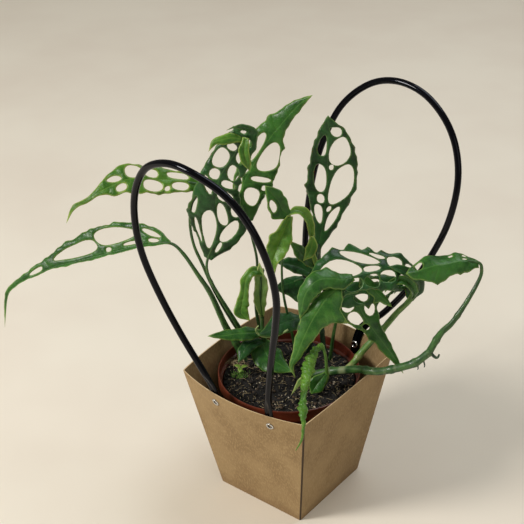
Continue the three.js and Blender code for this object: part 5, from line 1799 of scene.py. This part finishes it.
def make_soil():
    """Lumpy peat with crumbs, bark bits, grit and dry fibres."""
    bottom = BOARD + GAP + POT["wall"] + GAP
    wall_top = POT["top"] - POT["band"] - 1
    foot = pot_inner(bottom) - WALL_CLEAR
    rim = pot_inner(wall_top) - WALL_CLEAR
    profile = [[foot, bottom], [rim, wall_top]]
    profile += [[rim * share, SOIL_LEVEL] for share in np.linspace(0.995, 0.01, SOIL_RINGS)]
    points, _ = lathe(profile, SOIL_SIDES)
    faces = ring_faces(len(profile), SOIL_SIDES)
    top = np.arange(len(points)) >= 2 * SOIL_SIDES
    x, y = points[top, 0], points[top, 1]
    rough = 0.8 * ground(x, y, 9) + 0.45 * ground(x, y, 3.5) + 0.2 * ground(x, y, 1.6)
    points[top, 2] = soil_height(x, y) - 0.3 + rough
    make_plant_piece("soil_bed", (points, faces), SOIL_PEAT, "soil")

    faces = crumb_faces()
    for name, (count, (least, most), material) in SOIL_BITS.items():
        parts = []
        for x, y in zip(*spots(count)):
            size = least + (most - least) * rng.uniform(0, 1) ** 2
            middle = np.array([x, y, soil_height(x, y) + 0.25 * size])
            parts.append((crumb_points(size) + middle, faces))
        make_plant_piece(name, joined(parts), material, "soil")

    parts = []
    for x, y in zip(*spots(SOIL_FIBRES)):
        parts.append(fibre(x, y, rng.uniform(1.5, 7), rng.uniform(0.1, 0.28), rng.uniform(0, 0.6)))
    count, middle, spread = TUFT
    for _ in range(count):
        x, y = rng.normal(middle, spread)
        parts.append(fibre(x, y, rng.uniform(9, 20), rng.uniform(0.14, 0.3), rng.uniform(0.3, 1.6)))
    make_plant_piece("soil_fibres", joined(parts), FIBRE_TAN, "soil")


# Sprout with moss round its foot

# Its place, height, leaves and their length, and the moss's blades and spread
SPROUT = {"across": -41, "away": 6, "height": 9, "leaves": 3, "reach": 7}
MOSS = {"blades": 170, "spread": (3.2, 2.6)}


def make_sprout():
    """A seedling with three small leaves, and moss round its foot."""
    x = SPROUT["across"]
    y = SPROUT["away"]
    top = SOIL_LEVEL + SPROUT["height"]
    points = [[x, y, SOIL_LEVEL - 7], [x, y, SOIL_LEVEL], [x + 1, y - 1, top]]
    mesh = stem_mesh({"points": points, "radii": [0.9, 0.63]}, 10)
    make_plant_piece("sprout_stem", mesh, STEM_MATERIALS["fresh"], "sprout")
    for number, turn in enumerate(round_angles(SPROUT["leaves"])):
        angle = turn + 0.4
        rows = []
        for share, half in ((0, 0.8), (0.35, 2), (0.7, 1.6), (1, 0)):
            reach = SPROUT["reach"] * share
            across = x + 1 + reach * math.cos(angle)
            away = y - 1 + reach * math.sin(angle)
            rows.append([across, away, top - 1 + 2 * share * (1 - share), half, half])
        leaf = {"face": [[0, 0, 1], [0, 0, 1]], "fold": [15, 15], "wave": [0, 1], "rows": rows}
        name = f"sprout_leaf_{number + 1}"
        make_plant_piece(name, blade_mesh(leaf), LEAF_MATERIALS["bright"], "sprout")
    parts = []
    for _ in range(MOSS["blades"]):
        px = x + rng.normal(0, MOSS["spread"][0])
        py = y + rng.normal(0, MOSS["spread"][1])
        base = np.array([px, py, soil_height(px, py)])
        lean = np.array([rng.normal(0, 0.5), rng.normal(0, 0.5), rng.uniform(1.0, 2.6)])
        points = base + np.linspace(0, 1, 4)[:, None] * lean
        parts.append(tube(points, np.array([0.3, 0.36, 0.28, 0.08]), 5))
    make_plant_piece("sprout_moss", joined(parts), MOSS_GREEN, "sprout")


# Stage, light and camera. Places are in metres here, and angles in degrees.

FLOOR_HALF = 5.0
LAMP_AIM = (0, 0, 0.18)
# Each lamp: its position, size, watts and colour
LAMPS = {
    "light_window": ((-0.9, -1.5, 1.3), 0.6, 34, (1.0, 0.97, 0.93)),
    "light_sky": ((0.3, 0.9, 1.9), 1.4, 18, (0.88, 0.94, 1.0)),
    "light_fill": ((1.8, -0.6, 0.9), 1.2, 3, (1.0, 0.96, 0.9)),
}
ROOM_COLOUR = (222, 214, 200)
ROOM_STRENGTH = 0.34
VIEW = {"azimuth": 39.06, "elevation": 29.95, "roll": -1.55, "distance": 0.9441}
VIEW_TARGET = (-0.01554, -0.01247, 0.215)
SENSOR = 36
LENS = 82.44


def make_stage():
    """A plain pale floor."""
    material, tree, shader = new_material("floor_paper")
    place = place_of(tree)
    grain = step(tree, noise(tree, place, 0.004, 3.0), 0.3, 0.7)
    body = mix(tree, grain, tint(232, 222, 206), tint(238, 230, 214))
    tree.links.new(body, shader.inputs["Base Color"])
    set_shader(shader, Roughness=0.85)
    mesh = bpy.data.meshes.new("floor")
    corners = [(x * FLOOR_HALF, y * FLOOR_HALF, 0) for x, y in ((-1, -1), (1, -1), (1, 1), (-1, 1))]
    mesh.from_pydata(corners, [], [(0, 1, 2, 3)])
    mesh.materials.append(material)
    floor = add_object("floor", mesh)


def make_lights():
    """Round area lamps that look at the plant."""
    for name, (position, size, watts, colour) in LAMPS.items():
        light = bpy.data.lights.new(name, "AREA")
        light.shape = "DISK"
        light.size = size
        light.energy = watts
        light.color = colour
        lamp = add_object(name, light)
        lamp.location = position
        aim = Vector(LAMP_AIM) - Vector(position)
        lamp.rotation_euler = aim.to_track_quat("-Z", "Y").to_euler()


def make_world():
    """Soft warm light from all around."""
    world = bpy.data.worlds.new("studio")
    world.use_nodes = True
    background = world.node_tree.nodes["Background"]
    background.inputs["Color"].default_value = tint(*ROOM_COLOUR)
    background.inputs["Strength"].default_value = ROOM_STRENGTH
    bpy.context.scene.world = world
    bpy.context.scene.view_settings.view_transform = "Standard"


def make_camera():
    """The photograph's view: it looks down at the front and right panels."""
    azimuth, elevation, roll = (math.radians(VIEW[key]) for key in ("azimuth", "elevation", "roll"))
    flat = math.cos(elevation)
    back = Vector((math.sin(azimuth) * flat, -math.cos(azimuth) * flat, math.sin(elevation)))
    level = Vector((0, 0, 1)).cross(back).normalized()
    upright = back.cross(level)
    right = level * math.cos(roll) + upright * math.sin(roll)
    up = upright * math.cos(roll) - level * math.sin(roll)
    camera = bpy.data.cameras.new("camera")
    camera.sensor_width = SENSOR
    camera.lens = LENS
    camera.clip_end = 6 * FLOOR_HALF
    eye = add_object("camera", camera)
    frame_of_view = Matrix((right, up, back)).transposed().to_4x4()
    frame_of_view.translation = Vector(VIEW_TARGET) + back * VIEW["distance"]
    eye.matrix_world = frame_of_view
    bpy.context.scene.camera = eye


make_camera()
make_carrier()
make_pot()
make_handle("front", FRONT_LOOP)
make_handle("back", BACK_LOOP)
make_eyelets()
make_soil()
make_stems()
make_furled_leaf()
make_thin_growths()
make_blades()
make_sprout()
make_stage()
make_world()
make_lights()
